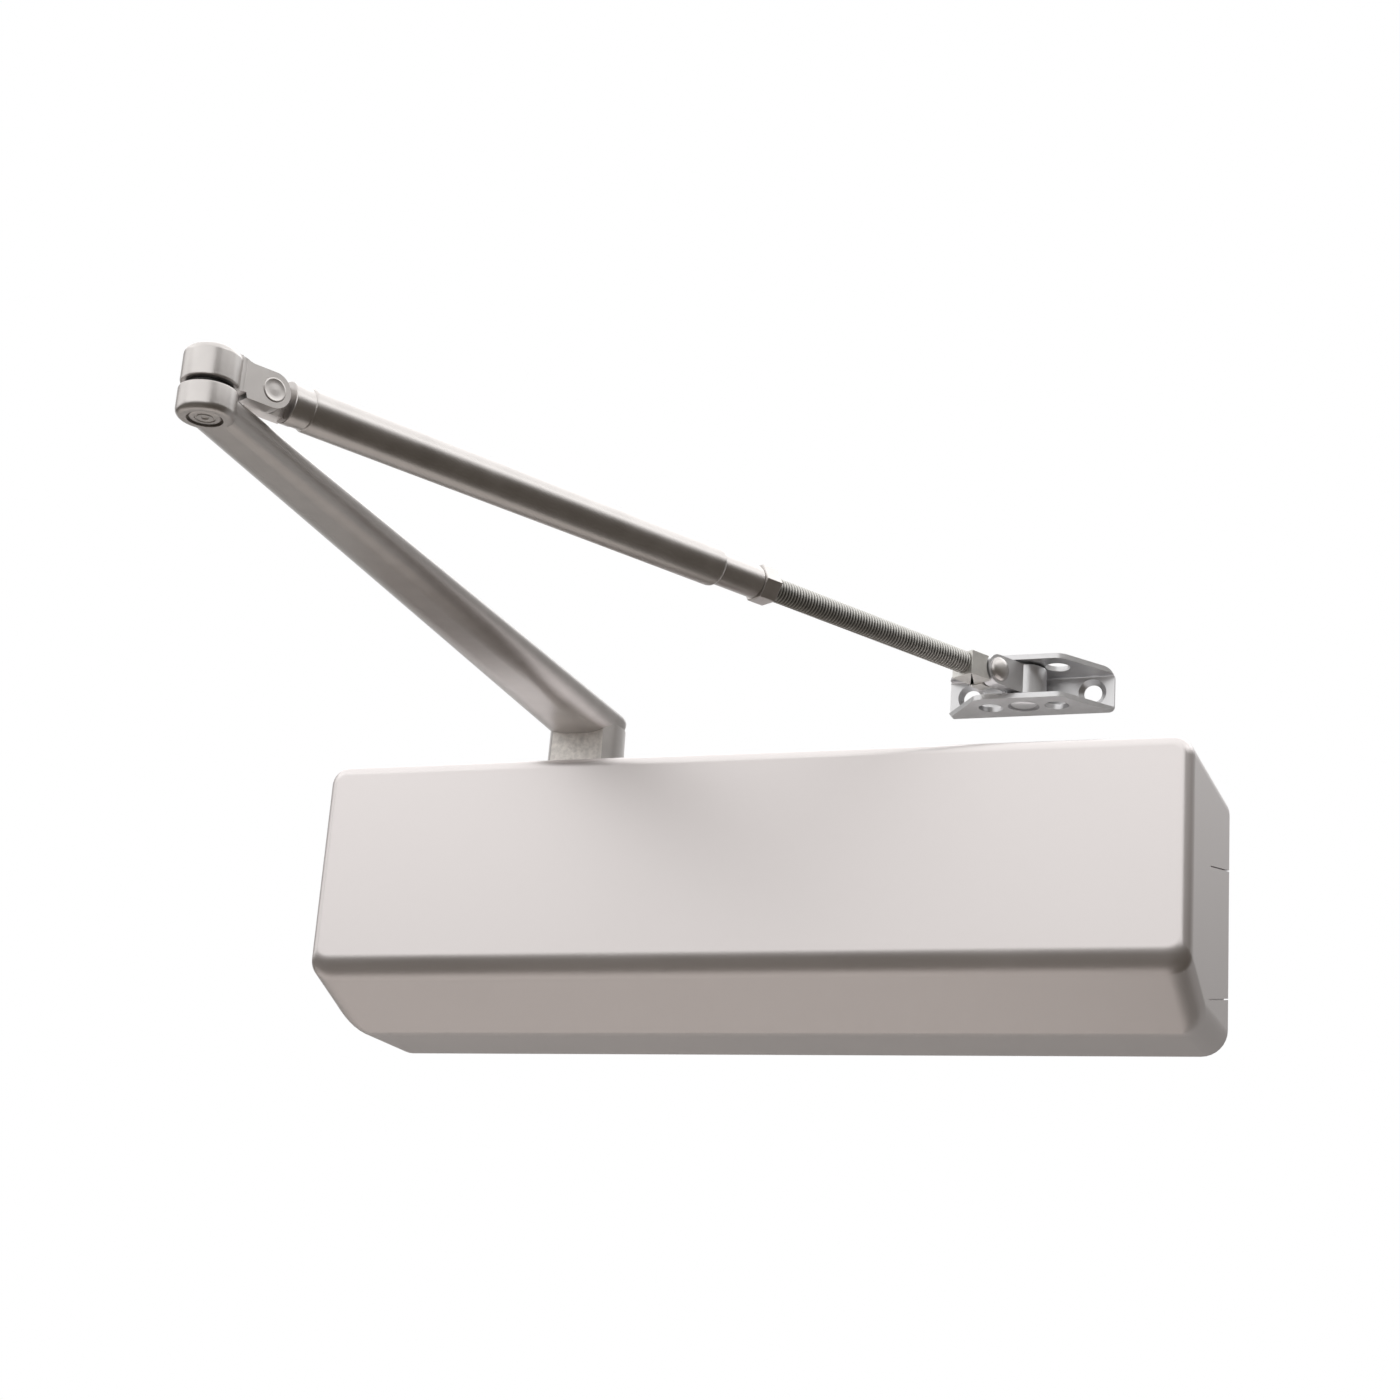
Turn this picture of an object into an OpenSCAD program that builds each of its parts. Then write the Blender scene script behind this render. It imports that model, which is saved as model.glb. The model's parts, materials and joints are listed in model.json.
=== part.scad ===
// Surface door closer with a boxed cover and a regular two-piece arm, door closed.
// X runs along the cover, -Y is the room side, +Z is up.
// The origin is the middle of the four body screws, on the plane of the door.

/* [Cover] */
// Length of the cover
cover_l = 315; // [300:1:360]
// Height of the front face, between its sharp edges
face_h = 76.9; // [70:0.1:90]
// How far the slanted lower face runs back
slant_d = 36.8; // [20:0.1:45]
// How far the slanted lower face drops
slant_h = 15.1; // [10:0.1:20]
// Depth of the cover from front to open back
cover_d = 72.5; // [70:0.5:90]
// Wall of the cover
cover_wall = 2.4; // [1.5:0.1:3]
// Height of the cover's middle above the middle of the body's screws
cover_rise = 0.75; // [0:0.05:2]
// Gap between the cover's back edge and the door
cover_back_gap = 0.5; // [0.2:0.1:2]
// Rounding of the front, top and end edges
edge_r = 4.5; // [3:0.5:8]
// Rounding of the front's lower edge
low_edge_r = 6; // [4:0.5:9]
// Rounding of the bottom's end edges
bottom_end_r = 8.5; // [5:0.5:12]
// Width of the slot that clears the spindle
spindle_slot_w = 22; // [20:0.5:30]
// Length of the two slits beside each snap tab
slit_l = 17; // [10:1:25]
// Width of a slit
slit_w = 0.8; // [0.5:0.1:1.5]
// Height of a snap tab between its slits
tab_h = 46; // [34:1:50]
// Middle of the snap tabs below the cover's mid height
tab_drop = 5; // [0:1:10]
// Height of the rib inside each snap tab
tab_rib = 1.2; // [0.8:0.1:2]

/* [Body] */
// Distance from the door to the piston's axis
axis_depth = 36.5; // [34:0.5:40]
// Outside diameter of the cylinder
cylinder_d = 50; // [48:0.5:52]
// Bore of the cylinder
bore_d = 38.1; // [36:0.1:40]
// Length of the cover beyond the body casting, both ends together
body_end_room = 59; // [52:1:74]
// How far the casting sits towards the spindle end
body_shift = 5; // [0:1:8]
// Flange thickness of the end caps
cap_flange_t = 8; // [5:0.5:9]
// Plug length of the end caps
cap_plug_l = 10; // [8:0.5:14]
// Distance from the casting's spring end to its screws
screw_inset = 23; // [21:0.5:30]
// Distance between the body's screws up the door
screw_span_z = 66; // [64:0.5:68]
// Screw clearance holes in the body
screw_hole_d = 7; // [5:0.1:8]
// Countersink of the body's screw holes
screw_sink_d = 13; // [11:0.5:14]
// Thickness of a foot at the screws
foot_t = 10; // [7:0.5:12]
// Width of a foot along the door
foot_w = 26; // [22:1:30]
// Height of a foot
foot_h = 81; // [78:0.5:82]
// Outside diameter of the bosses around the spindle
boss_d = 38; // [36:0.5:40]
// Top of the upper boss above the axis
upper_boss_h = 34; // [33:0.5:35]
// Bottom of the lower boss below the axis
lower_boss_h = 31; // [30.5:0.5:32]

/* [Spindle and piston] */
// Distance from the cover's left end to the spindle
spindle_inset = 85.3; // [84:0.1:97]
// Gear module of the pinion and rack
gear_module = 2; // [1.8:0.05:2.1]
// Teeth on the pinion
pinion_teeth = 9; // [9:1:10]
// Pressure angle of the teeth
pressure_angle = 25; // [24:1:27]
// Play between the tooth flanks
backlash = 0.35; // [0.2:0.05:0.6]
// Height of the pinion's teeth
pinion_h = 24; // [18:1:28]
// Diameter of the upper journal
upper_journal_d = 16; // [15:0.5:17]
// Diameter of the lower journal
lower_journal_d = 14; // [12:0.5:15]
// Outside diameter of the needle bearings
bearing_od = 24; // [22:0.5:26]
// Height of a needle bearing
bearing_h = 10; // [8:0.5:10.5]
// Flats of the square on the spindle's end
square_w = 11.2; // [10:0.1:11.2]
// Travel of the piston from closed to fully open
piston_travel = 27; // [20:1:28]
// Wall of the piston beyond the window, at the closed end
piston_head_l = 8; // [7:0.5:9]
// Length of the piston beyond the window, at the spring end
piston_tail_l = 14; // [12:0.5:18]
// Wire of the closing spring
spring_wire_d = 5.5; // [4.5:0.1:6]
// Mean diameter of the closing spring
spring_mean_d = 28; // [25:0.5:30]
// Coils of the closing spring
spring_coils = 13; // [10:1:15]
// Thickness of the plate behind the spring
seat_t = 4; // [3:0.5:6]
// Gap between the spring plate and the end cap's plug
seat_gap = 9; // [6:0.5:12]
// Diameter of the power screw
power_screw_d = 10; // [8:0.5:12]
// Flats of the power screw's head
power_head_af = 13; // [12:0.5:17]
// Diameter of a valve screw
valve_d = 7; // [5:0.5:8]
// Distance between neighbouring valve screws
valve_pitch = 13; // [10:0.5:14]

/* [Main arm] */
// Distance between the spindle and the elbow
arm_len = 285.1; // [260:0.1:310]
// Direction of the main arm, anticlockwise from +X seen from above
arm_angle = -89; // [-95:0.5:-85]
// Height of the arm's middle above the piston's axis
arm_z = 69.15; // [67:0.05:75]
// Width of the arm at the elbow
arm_w_elbow = 15.8; // [14:0.1:17]
// Thickness of the arm at the elbow
arm_t_elbow = 6.8; // [6:0.1:8]
// Width of the arm at the hub
arm_w_hub = 26.6; // [18:0.1:27]
// Thickness of the arm at the hub
arm_t_hub = 9.6; // [8:0.1:12]
// Diameter of the hub
hub_d = 27.4; // [26:0.1:32]
// Distance from the spindle to the flat on the hub's front
hub_flat = 11.1; // [10.5:0.1:13]
// Gap between the cover's top and the hub
hub_gap = 2.1; // [1:0.1:4]
// Diameter of the arm screw's thread
arm_screw_d = 6; // [5:0.5:7]

/* [Elbow] */
// Diameter of the arm's eye
elbow_d = 16.6; // [16:0.1:19]
// Height of the arm's eye
elbow_eye_h = 8.4; // [7:0.1:10]
// Diameter of the elbow rivet
elbow_pin_d = 8; // [6:0.1:9]
// Diameter of the rivet's lower head
elbow_head_d = 10; // [9.8:0.1:11]
// Depth of the recess around the rivet's lower head
elbow_recess = 1.4; // [1:0.1:2]
// Gap between the arm's eye and the knuckle
elbow_gap = 1.4; // [1:0.1:2.5]
// Height of the knuckle's head
knuckle_h = 10.4; // [9:0.1:12]
// Height of the forearm's axis above the knuckle's underside
forearm_rise = 3.8; // [3:0.1:6]
// Distance from the elbow to the tilt rivet
elbow_tilt_x = 17.4; // [16:0.1:20]
// Thickness of the lapped plates
lap_t = 4.6; // [4:0.1:5]
// Half of the play between the lapped plates
lap_play = 0.2; // [0.15:0.05:0.4]
// Height of the lapped plates
lap_h = 10.6; // [9:0.1:11]
// Diameter of the tilt rivets
tilt_pin_d = 5; // [4:0.1:6]
// Diameter of the tilt rivets' heads
tilt_head_d = 8; // [7:0.1:9]
// Height of the tilt rivets' heads
tilt_head_h = 1.4; // [1:0.1:2]

/* [Forearm] */
// Distance between the elbow and the shoe's pivot
forearm_len = 328.8; // [315:0.1:345]
// Direction of the forearm, anticlockwise from +X seen from above
forearm_angle = 61.2; // [55:0.1:70]
// Outside diameter of the tube
tube_d = 13; // [11.6:0.1:14]
// Bore of the tube
tube_bore = 9.4; // [8.6:0.1:10]
// Where the tube starts, from the elbow
tube_start = 34; // [30:0.5:38]
// Length of the tube's thick part
tube_l = 150; // [140:1:160]
// Diameter of the narrow neck
neck_d = 10.6; // [10:0.1:11.5]
// Length of the narrow neck
neck_l = 17; // [12:0.5:22]
// Length of the jam nut
nut_l = 6.5; // [5:0.1:8]
// Flats of the jam nut
nut_af = 11; // [10.5:0.1:13]
// Diameter of the threaded rod
rod_d = 8; // [7:0.1:8]
// Thread left inside the tube and nut
rod_engaged = 87; // [60:1:95]
// Diameter of the fitting between the tube and the elbow's plates
fitting_d = 11.4; // [10.8:0.1:11.5]

/* [Shoe] */
// Distance from the shoe's pivot to its tilt rivet
shoe_tilt_x = 18; // [17:0.1:20]
// Height of the rod's eye plate
eye_h = 11; // [10:0.1:11]
// Diameter of the shoe's barrel
barrel_d = 15.4; // [14:0.1:16]
// Height of the shoe's barrel
barrel_h = 11; // [10.9:0.1:12]
// Play of the barrel between the flanges
barrel_play = 0.4; // [0.2:0.1:0.8]
// Diameter of the shoe's pivot pin
shoe_pin_d = 8; // [6:0.1:9]
// Diameter of the pin's riveted ends
shoe_pin_end_d = 10.8; // [10:0.1:11.5]
// Length of the shoe
shoe_l = 59; // [56:0.5:64]
// Length of a flange's free edge
flange_edge_l = 30; // [26:0.5:34]
// Distance from the pivot to the flanges' free edge
flange_reach = 10; // [9:0.1:11]
// Distance from the pivot to the shoe's back face
shoe_back = 12.7; // [11:0.1:14]
// Thickness of the shoe's plate
shoe_t = 2.2; // [1.8:0.1:2.6]
// Distance between the holes in the shoe's back
back_hole_span = 43.5; // [40:0.5:46]
// Diameter of the holes in the shoe's back
back_hole_d = 6.4; // [5:0.1:7]
// Countersink of the holes in the shoe's back
back_sink_d = 10.8; // [9:0.1:11]
// Distance between the holes in each flange
flange_hole_span = 23.5; // [22:0.5:25]
// Diameter of the holes in each flange
flange_hole_d = 8.6; // [6:0.1:9]

/* [Fits] */
// Radial running clearance of pins and journals
run_fit = 0.05; // [0.02:0.01:0.08]
// Radial clearance of parts that sit still in a seat
seat_fit = 0.1; // [0.05:0.05:0.2]
// Gap between parts that move past each other
move_gap = 0.3; // [0.2:0.1:0.5]

/* [Hidden] */
$fn = 64;
eps = 0.01;
hull_fn = 32;

// Cover
cover_front = -cover_back_gap - cover_d;
cover_top = cover_rise + (face_h + slant_h) / 2;
face_bottom = cover_top - face_h;
cover_bottom = cover_rise - (face_h + slant_h) / 2;
tab_z = -tab_drop;
rib_depth = 2;
rib_inset = 8;
rib_h = tab_h - 12;

// Body
axis_y = -axis_depth;
body_l = cover_l - body_end_room;
body_x0 = -body_l / 2 - body_shift;
body_x1 = body_l / 2 - body_shift;
screw_span_x = 2 * (body_x1 - screw_inset);
spindle_x = -cover_l / 2 + spindle_inset;
cap_flange_d = cylinder_d - 3;
cap_plug_d = bore_d - 2 * seat_fit;
groove_w = 2.6;
groove_depth = 1.8;
bearing_z = bore_d / 2 + 0.5;
gland_plug_d = bearing_od + 4;
gland_plug_h = 2;
gland_flange_h = 4;
lower_gland_flange_d = gland_plug_d + 5;
lower_seal_t = 0.8;
lower_gland_flange_h = 3.5;
gland_flange_d = gland_plug_d + 6;
valve_plug_l = 6;
// Centre of the seal groove of each end cap
valve_cap_groove_x = body_x0 + 3.5;
spring_cap_groove_x = body_x1 - 3.5;
cap_socket_d = 18;
cap_socket_depth = 5;

// Cover clips
clip_h = tab_h - 14;
clip_t = 1.5;
clip_bend_l = 15;
clip_recess_t = clip_t + 0.1;
clip_screw_d = 4;
clip_screw_x = screw_span_x / 2 + 3;
clip_root_x = screw_span_x / 2 - foot_w / 2 + 3;
clip_head_h = 1.3;
clip_head_extra = 3;

// Valve screws
valve_x = body_x0 + 13;
valve_pad_w = 16;
valve_pad_rise = 1;
valve_head_d = valve_d + 2;
valve_head_h = 1.9;
valve_head_rise = 3.5;
valve_slot_w = 1.2;
valve_slot_depth = 0.7;

// Gear
pitch_r = gear_module * pinion_teeth / 2;
tip_r = pitch_r + gear_module;
root_r = pitch_r - 1.15 * gear_module;
// The rack's teeth are cut short, so that the few-toothed pinion isn't undercut
rack_addendum = 0.77 * gear_module;
rack_depth = 1.2 * gear_module;
rack_pitch = PI * gear_module;
journal_lap = 1;
rack_h = pinion_h - 2 * (journal_lap + move_gap);
rack_y = axis_y - pitch_r;

// Piston
window_play = 3;
window_x0 = spindle_x - piston_travel - tip_r - window_play;
window_x1 = spindle_x + tip_r + window_play;
piston_x0 = window_x0 - piston_head_l;
piston_x1 = window_x1 + piston_tail_l;
piston_d = bore_d - 2 * run_fit;
window_back_y = axis_y + tip_r + 1;
piston_groove_x = [piston_x0 + piston_head_l / 2, piston_x1 - 4.5];
ring_play = 0.05;
spring_x0 = piston_x1;
spring_x1 = body_x1 - cap_plug_l - seat_gap - seat_t;
spring_plate_d = bore_d - 1;
spring_nub_d = spring_mean_d - spring_wire_d - 1;
spring_nub_l = 8;
power_head_x = body_x1 + cap_flange_t + 1;
power_head_l = 8;

// Main arm
elbow_x = spindle_x + arm_len * cos(arm_angle);
elbow_y = axis_y + arm_len * sin(arm_angle);
hub_bottom = cover_top + hub_gap;
hub_rise = 0.6;
hub_top = arm_z + arm_t_hub / 2 + hub_rise;
square_top = hub_top - 1;
square_hole_w = square_w + 2 * seat_fit;
arm_washer_d = 18;
arm_washer_t = 1.5;
arm_head_d = 11;
arm_head_h = 3;
arm_screw_l = 16;
arm_socket_d = 5;
arm_socket_depth = 1.8;
thread_fit = 0.05;
section_t = 0.5;

// Elbow
arm_eye_bottom = arm_z - arm_t_elbow / 2;
arm_eye_top = arm_eye_bottom + elbow_eye_h;
knuckle_bottom = arm_eye_top + elbow_gap;
knuckle_top = knuckle_bottom + knuckle_h;
forearm_z = knuckle_bottom + forearm_rise;
knuckle_inset = 0.2;
knuckle_d = elbow_d - 2 * knuckle_inset;
elbow_recess_d = elbow_head_d + 1.4;
elbow_head_rise = 0.3;
elbow_dimple_d = 2.4;
elbow_dimple_depth = 0.5;
elbow_washer_d = elbow_d - 3.5;
elbow_washer_play = 0.15;
elbow_top_head_d = elbow_pin_d + 3.4;
elbow_top_head_h = 0.6;
lap_end_r = lap_h / 2;
fitting_gap = 1.1;
fitting_step = elbow_tilt_x + lap_end_r + fitting_gap;

// Forearm
tube_end = tube_start + tube_l;
neck_end = tube_end + neck_l;
nut_end = neck_end + nut_l;
spigot_l = 16;
tube_wall_end = 6;
rod_start = nut_end - rod_engaged;
shoe_tilt_s = forearm_len - shoe_tilt_x;
eye_r = eye_h / 2;
rod_shoulder = shoe_tilt_s - lap_end_r - 1.7;
thread_end = rod_shoulder - 3;

// Shoe
shoe_x = elbow_x + forearm_len * cos(forearm_angle);
shoe_y = elbow_y + forearm_len * sin(forearm_angle);
shoe_h = barrel_h + barrel_play + 2 * shoe_t;
shoe_side_d = 3.5;
shoe_gap_half = (barrel_h + barrel_play) / 2;
shoe_sink_depth = 1.4;

module at_spindle() {
  translate([spindle_x, axis_y, 0]) children();
}

module at_elbow() {
  translate([elbow_x, elbow_y, 0]) children();
}

// Local +X runs along the main arm, from the spindle to the elbow
module along_arm() {
  translate([spindle_x, axis_y, arm_z]) rotate([0, 0, arm_angle]) children();
}

// Local +X runs along the forearm, from the elbow to the shoe
module along_forearm(s = 0) {
  translate([elbow_x, elbow_y, forearm_z]) rotate([0, 0, forearm_angle]) translate([s, 0, 0]) children();
}

module at_shoe() {
  translate([shoe_x, shoe_y, forearm_z]) children();
}

module x_cylinder(d, x0, x1) {
  translate([x0, 0, 0]) rotate([0, 90, 0]) cylinder(h = x1 - x0, d = d);
}

module y_cylinder(d, y0, y1) {
  translate([0, y1, 0]) rotate([90, 0, 0]) cylinder(h = y1 - y0, d = d);
}

module z_cylinder(d, z0, z1) {
  translate([0, 0, z0]) cylinder(h = z1 - z0, d = d);
}

module z_ring(od, id, z0, z1) {
  difference() {
    z_cylinder(od, z0, z1);
    z_cylinder(id, z0 - 1, z1 + 1);
  }
}

module x_ring(od, id, x0, x1) {
  difference() {
    x_cylinder(od, x0, x1);
    x_cylinder(id, x0 - 1, x1 + 1);
  }
}

// ---------- Cover ----------

// A convex box with the cover's profile, set in by t on every side but the back
module cover_form(t, back) {
  half = cover_l / 2 - t;
  top = cover_top - t;
  bottom = cover_bottom + t;
  front = cover_front + t;
  slant_n = [slant_h, slant_d] / norm([slant_h, slant_d]);
  // A point of the slanted face, moved in by t
  slant_y = cover_front + t * slant_n[0];
  slant_z = face_bottom + t * slant_n[1];
  r1 = max(edge_r - t, 1);
  r2 = max(low_edge_r - t, 1);
  r3 = max(bottom_end_r - t, 1);
  c2_y = front + r2;
  c2_z = slant_z + (r2 - (c2_y - slant_y) * slant_n[0]) / slant_n[1];
  c3_z = bottom + r3;
  c3_y = slant_y + (r3 - (c3_z - slant_z) * slant_n[1]) / slant_n[0];
  hull($fn = hull_fn)
    for (side = [-1, 1]) {
      translate([side * (half - r1), front + r1, top - r1]) sphere(r1);
      translate([side * (half - r1), 0, top - r1]) y_cylinder(2 * r1, back - 1, back);
      translate([side * (half - r2), c2_y, c2_z]) sphere(r2);
      translate([side * (half - r3), c3_y, c3_z]) sphere(r3);
      translate([side * (half - r3), 0, c3_z]) y_cylinder(2 * r3, back - 1, back);
    }
}

module cover() {
  inner = cover_l / 2 - cover_wall;
  slot_h = cover_wall + edge_r;
  color([0.82, 0.81, 0.81])
  difference() {
    union() {
      difference() {
        cover_form(0, -cover_back_gap);
        cover_form(cover_wall, 5);
      }
      for (side = [-1, 1])
        translate([side * (inner - tab_rib / 2 + eps), -cover_back_gap - rib_inset, tab_z])
          cube([tab_rib + 2 * eps, rib_depth, rib_h], center = true);
    }
    // Slot for the spindle, open at the back
    translate([spindle_x, axis_y, cover_top - slot_h]) {
      cylinder(h = 2 * slot_h, d = spindle_slot_w);
      translate([-spindle_slot_w / 2, 0, 0]) cube([spindle_slot_w, axis_depth + 1, 2 * slot_h]);
    }
    // Slits beside the snap tabs
    for (side = [-1, 1], up = [-1, 1])
      translate([side * cover_l / 2, -cover_back_gap - slit_l / 2 + 1, tab_z + up * tab_h / 2])
        cube([4 * cover_wall, slit_l + 2, slit_w], center = true);
  }
}

// A strip in the foot's back recess, bent forward inside the cover's end
module cover_clip(side) {
  tip = cover_l / 2 - cover_wall - tab_rib - move_gap;
  color([0.72, 0.72, 0.7])
  mirrored(side)
  difference() {
    union() {
      translate([clip_root_x, -clip_t, tab_z - clip_h / 2]) cube([tip - clip_root_x, clip_t, clip_h]);
      translate([tip - clip_t, -clip_bend_l, tab_z - clip_h / 2]) cube([clip_t, clip_bend_l, clip_h]);
    }
    translate([clip_screw_x, 0, tab_z]) {
      y_cylinder(clip_screw_d + 2 * seat_fit, -2 * clip_t, clip_t);
      clip_screw_head(2 * seat_fit);
    }
  }
}

// Mirrors a left-hand piece across the cover's middle
module mirrored(side) {
  if (side > 0) children();
  else mirror([1, 0, 0]) children();
}

module left_cover_clip() { cover_clip(-1); }
module right_cover_clip() { cover_clip(1); }

// Countersunk head, flush with the strip's back
module clip_screw_head(gap) {
  taper = clip_head_extra / clip_head_h;
  rotate([90, 0, 0]) translate([0, 0, seat_fit - gap])
    cylinder(
      h = clip_head_h + gap,
      d1 = clip_screw_d + clip_head_extra + (2 + taper) * gap,
      d2 = clip_screw_d + 2 * gap
    );
}

module clip_screws() {
  color([0.6, 0.6, 0.6])
  for (side = [-1, 1])
    translate([side * clip_screw_x, 0, tab_z]) {
      y_cylinder(clip_screw_d, -foot_t + 1, -clip_t / 2);
      clip_screw_head(0);
    }
}

// ---------- Body ----------

module foot(x) {
  half_w = foot_w / 2;
  // The web joins the cylinder to the foot
  translate([x - half_w, -foot_t, -foot_h / 2]) cube([foot_w, foot_t, foot_h]);
  translate([x - half_w, axis_y, -cylinder_d / 2]) cube([foot_w, axis_depth - 1, cylinder_d]);
}

module closer_body() {
  color([0.45, 0.46, 0.48])
  difference() {
    union() {
      translate([0, axis_y, 0]) x_cylinder(cylinder_d, body_x0, body_x1);
      at_spindle() z_cylinder(boss_d, -lower_boss_h, upper_boss_h);
      for (side = [-1, 1]) foot(side * screw_span_x / 2);
      // Flat for the valve screws
      pad_h = 2 * valve_pitch + valve_pad_w;
      translate([valve_x - valve_pad_w / 2, axis_y - cylinder_d / 2 - valve_pad_rise, -pad_h / 2])
        cube([valve_pad_w, cylinder_d / 2, pad_h]);
    }
    translate([0, axis_y, 0]) x_cylinder(bore_d, body_x0 - 1, body_x1 + 1);
    at_spindle() {
      z_cylinder(bearing_od + 2 * seat_fit, 0, upper_boss_h + 1);
      z_cylinder(gland_plug_d + 2 * seat_fit, upper_boss_h - gland_plug_h, upper_boss_h + 1);
      z_cylinder(bearing_od + 2 * seat_fit, -lower_boss_h - 1, 0);
      z_cylinder(gland_plug_d + 2 * seat_fit, -lower_boss_h - 1, -lower_boss_h + gland_plug_h);
    }
    for (side = [-1, 1], up = [-1, 1])
      translate([side * screw_span_x / 2, 0, up * screw_span_z / 2]) {
        y_cylinder(screw_hole_d, -foot_t - 1, 1);
        translate([0, -foot_t - eps, 0]) rotate([-90, 0, 0])
          cylinder(h = (screw_sink_d - screw_hole_d) / 2, d1 = screw_sink_d, d2 = screw_hole_d);
      }
    for (side = [-1, 1]) {
      // Recess and hole for a cover clip
      mirrored(side)
        translate([clip_root_x - move_gap, -clip_recess_t, tab_z - clip_h / 2 - move_gap])
          cube([foot_w, clip_recess_t + 1, clip_h + 2 * move_gap]);
      translate([side * clip_screw_x, 0, tab_z]) y_cylinder(clip_screw_d + 2 * thread_fit, -foot_t, 1);
    }
    for (k = [-1, 0, 1])
      translate([valve_x, axis_y, k * valve_pitch]) y_cylinder(valve_d + 2 * run_fit, -cylinder_d, 0);
  }
}

module end_cap(x_in, x_out, flange_x0, flange_x1) {
  difference() {
    union() {
      x_cylinder(cap_plug_d, x_in, x_out);
      x_cylinder(cap_flange_d, flange_x0, flange_x1);
    }
    children();
  }
}

module seal_groove(x) {
  x_ring(bore_d + 1, cap_plug_d - 2 * groove_depth, x - groove_w / 2, x + groove_w / 2);
}

module valve_end_cap() {
  color([0.5, 0.5, 0.52])
  translate([0, axis_y, 0])
    end_cap(body_x0 - 1, body_x0 + valve_plug_l, body_x0 - cap_flange_t, body_x0) {
      seal_groove(valve_cap_groove_x);
      // Hexagon socket for the assembly key
      translate([body_x0 - cap_flange_t - 1, 0, 0]) rotate([0, 90, 0])
        cylinder(h = cap_socket_depth + 1, d = cap_socket_d, $fn = 6);
    }
}

module spring_end_cap() {
  color([0.5, 0.5, 0.52])
  translate([0, axis_y, 0])
    end_cap(body_x1 - cap_plug_l, body_x1 + 1, body_x1, body_x1 + cap_flange_t) {
      seal_groove(spring_cap_groove_x);
      x_cylinder(power_screw_d + 2 * run_fit, body_x1 - cap_plug_l - 1, body_x1 + cap_flange_t + 1);
    }
}

module o_ring(x, ring_bore, ring_od) {
  wire = (ring_od - ring_bore) / 2;
  translate([x, 0, 0]) rotate([0, 90, 0])
    rotate_extrude() translate([(ring_bore + wire) / 2, 0]) circle(d = wire);
}

module end_cap_seals() {
  color([0.12, 0.12, 0.12])
  translate([0, axis_y, 0])
    for (x = [valve_cap_groove_x, spring_cap_groove_x])
      o_ring(x, cap_plug_d - 2 * groove_depth + ring_play, bore_d - ring_play);
}

// ---------- Piston ----------

// Outline of one rack tooth, pointing at the pinion, on the pitch line
module rack_tooth() {
  half = rack_pitch / 4 - backlash / 4;
  lean = tan(pressure_angle);
  polygon([
    [-half - rack_depth * lean, -rack_depth - 1], [-half - rack_depth * lean, -rack_depth],
    [-half + rack_addendum * lean, rack_addendum], [half - rack_addendum * lean, rack_addendum],
    [half + rack_depth * lean, -rack_depth], [half + rack_depth * lean, -rack_depth - 1]
  ]);
}

module rack_piston() {
  color([0.62, 0.62, 0.64])
  intersection() {
    translate([0, axis_y, 0]) x_cylinder(piston_d, piston_x0 - 1, piston_x1 + 1);
    difference() {
      union() {
        difference() {
          translate([piston_x0, axis_y - bore_d, -bore_d])
            cube([piston_x1 - piston_x0, 2 * bore_d, 2 * bore_d]);
          translate([window_x0, rack_y - rack_depth, -bore_d - 1])
            cube([window_x1 - window_x0, window_back_y - rack_y + rack_depth, 2 * bore_d + 2]);
        }
        // Rack teeth, one of them centred on the spindle
        for (k = [ceil((window_x0 - spindle_x) / rack_pitch) : floor((window_x1 - spindle_x) / rack_pitch)])
          translate([spindle_x + k * rack_pitch, rack_y, -rack_h / 2]) linear_extrude(rack_h) rack_tooth();
      }
      translate([0, axis_y, 0])
        for (x = piston_groove_x)
          x_ring(bore_d + 1, piston_d - 2 * groove_depth, x - groove_w / 2, x + groove_w / 2);
    }
  }
}

module piston_rings() {
  color([0.15, 0.15, 0.15])
  translate([0, axis_y, 0])
    for (x = piston_groove_x)
      o_ring(x, piston_d - 2 * groove_depth + ring_play, bore_d - ring_play);
}

// Points of a ring of wire at turn t of the spring
function coil_ring(t, x, sides) = [
  for (k = [0 : sides - 1])
    let (a = 360 * k / sides, r = spring_mean_d / 2 + spring_wire_d / 2 * cos(a))
    [x + spring_wire_d / 2 * sin(a), r * cos(360 * t), r * sin(360 * t)]
];

module closing_spring() {
  sides = 8;
  per_turn = 20;
  steps = spring_coils * per_turn;
  x0 = spring_x0 + spring_wire_d / 2;
  x1 = spring_x1 - spring_wire_d / 2;
  points = [
    for (i = [0 : steps])
      let (t = i / per_turn, u = min(max((t - 1) / (spring_coils - 2), 0), 1))
      // The first and last coil lie nearly flat against their seats
      let (lead = spring_wire_d * 1.02)
      let (x = t < 1 ? x0 + lead * t : t > spring_coils - 1
        ? x1 - lead * (spring_coils - t) : x0 + lead + (x1 - x0 - 2 * lead) * u)
      each coil_ring(t, x, sides)
  ];
  faces = [
    [for (k = [0 : sides - 1]) k],
    for (i = [0 : steps - 1], k = [0 : sides - 1])
      let (a = i * sides, b = a + sides, n = (k + 1) % sides)
      each [[a + k, b + k, b + n], [a + k, b + n, a + n]],
    [for (k = [sides - 1 : -1 : 0]) steps * sides + k]
  ];
  color([0.3, 0.31, 0.33])
  translate([0, axis_y, 0]) polyhedron(points, faces);
}

module spring_plate() {
  color([0.55, 0.55, 0.56])
  translate([0, axis_y, 0]) {
    x_cylinder(spring_plate_d, spring_x1, spring_x1 + seat_t);
    x_cylinder(spring_nub_d, spring_x1 - spring_nub_l, spring_x1);
  }
}

module power_screw() {
  color([0.6, 0.6, 0.58])
  translate([0, axis_y, 0]) {
    x_cylinder(power_screw_d, spring_x1 + seat_t, power_head_x + 1);
    translate([power_head_x, 0, 0]) rotate([0, 90, 0])
      cylinder(h = power_head_l, d = power_head_af / cos(30), $fn = 6);
  }
}

// ---------- Spindle ----------

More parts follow.
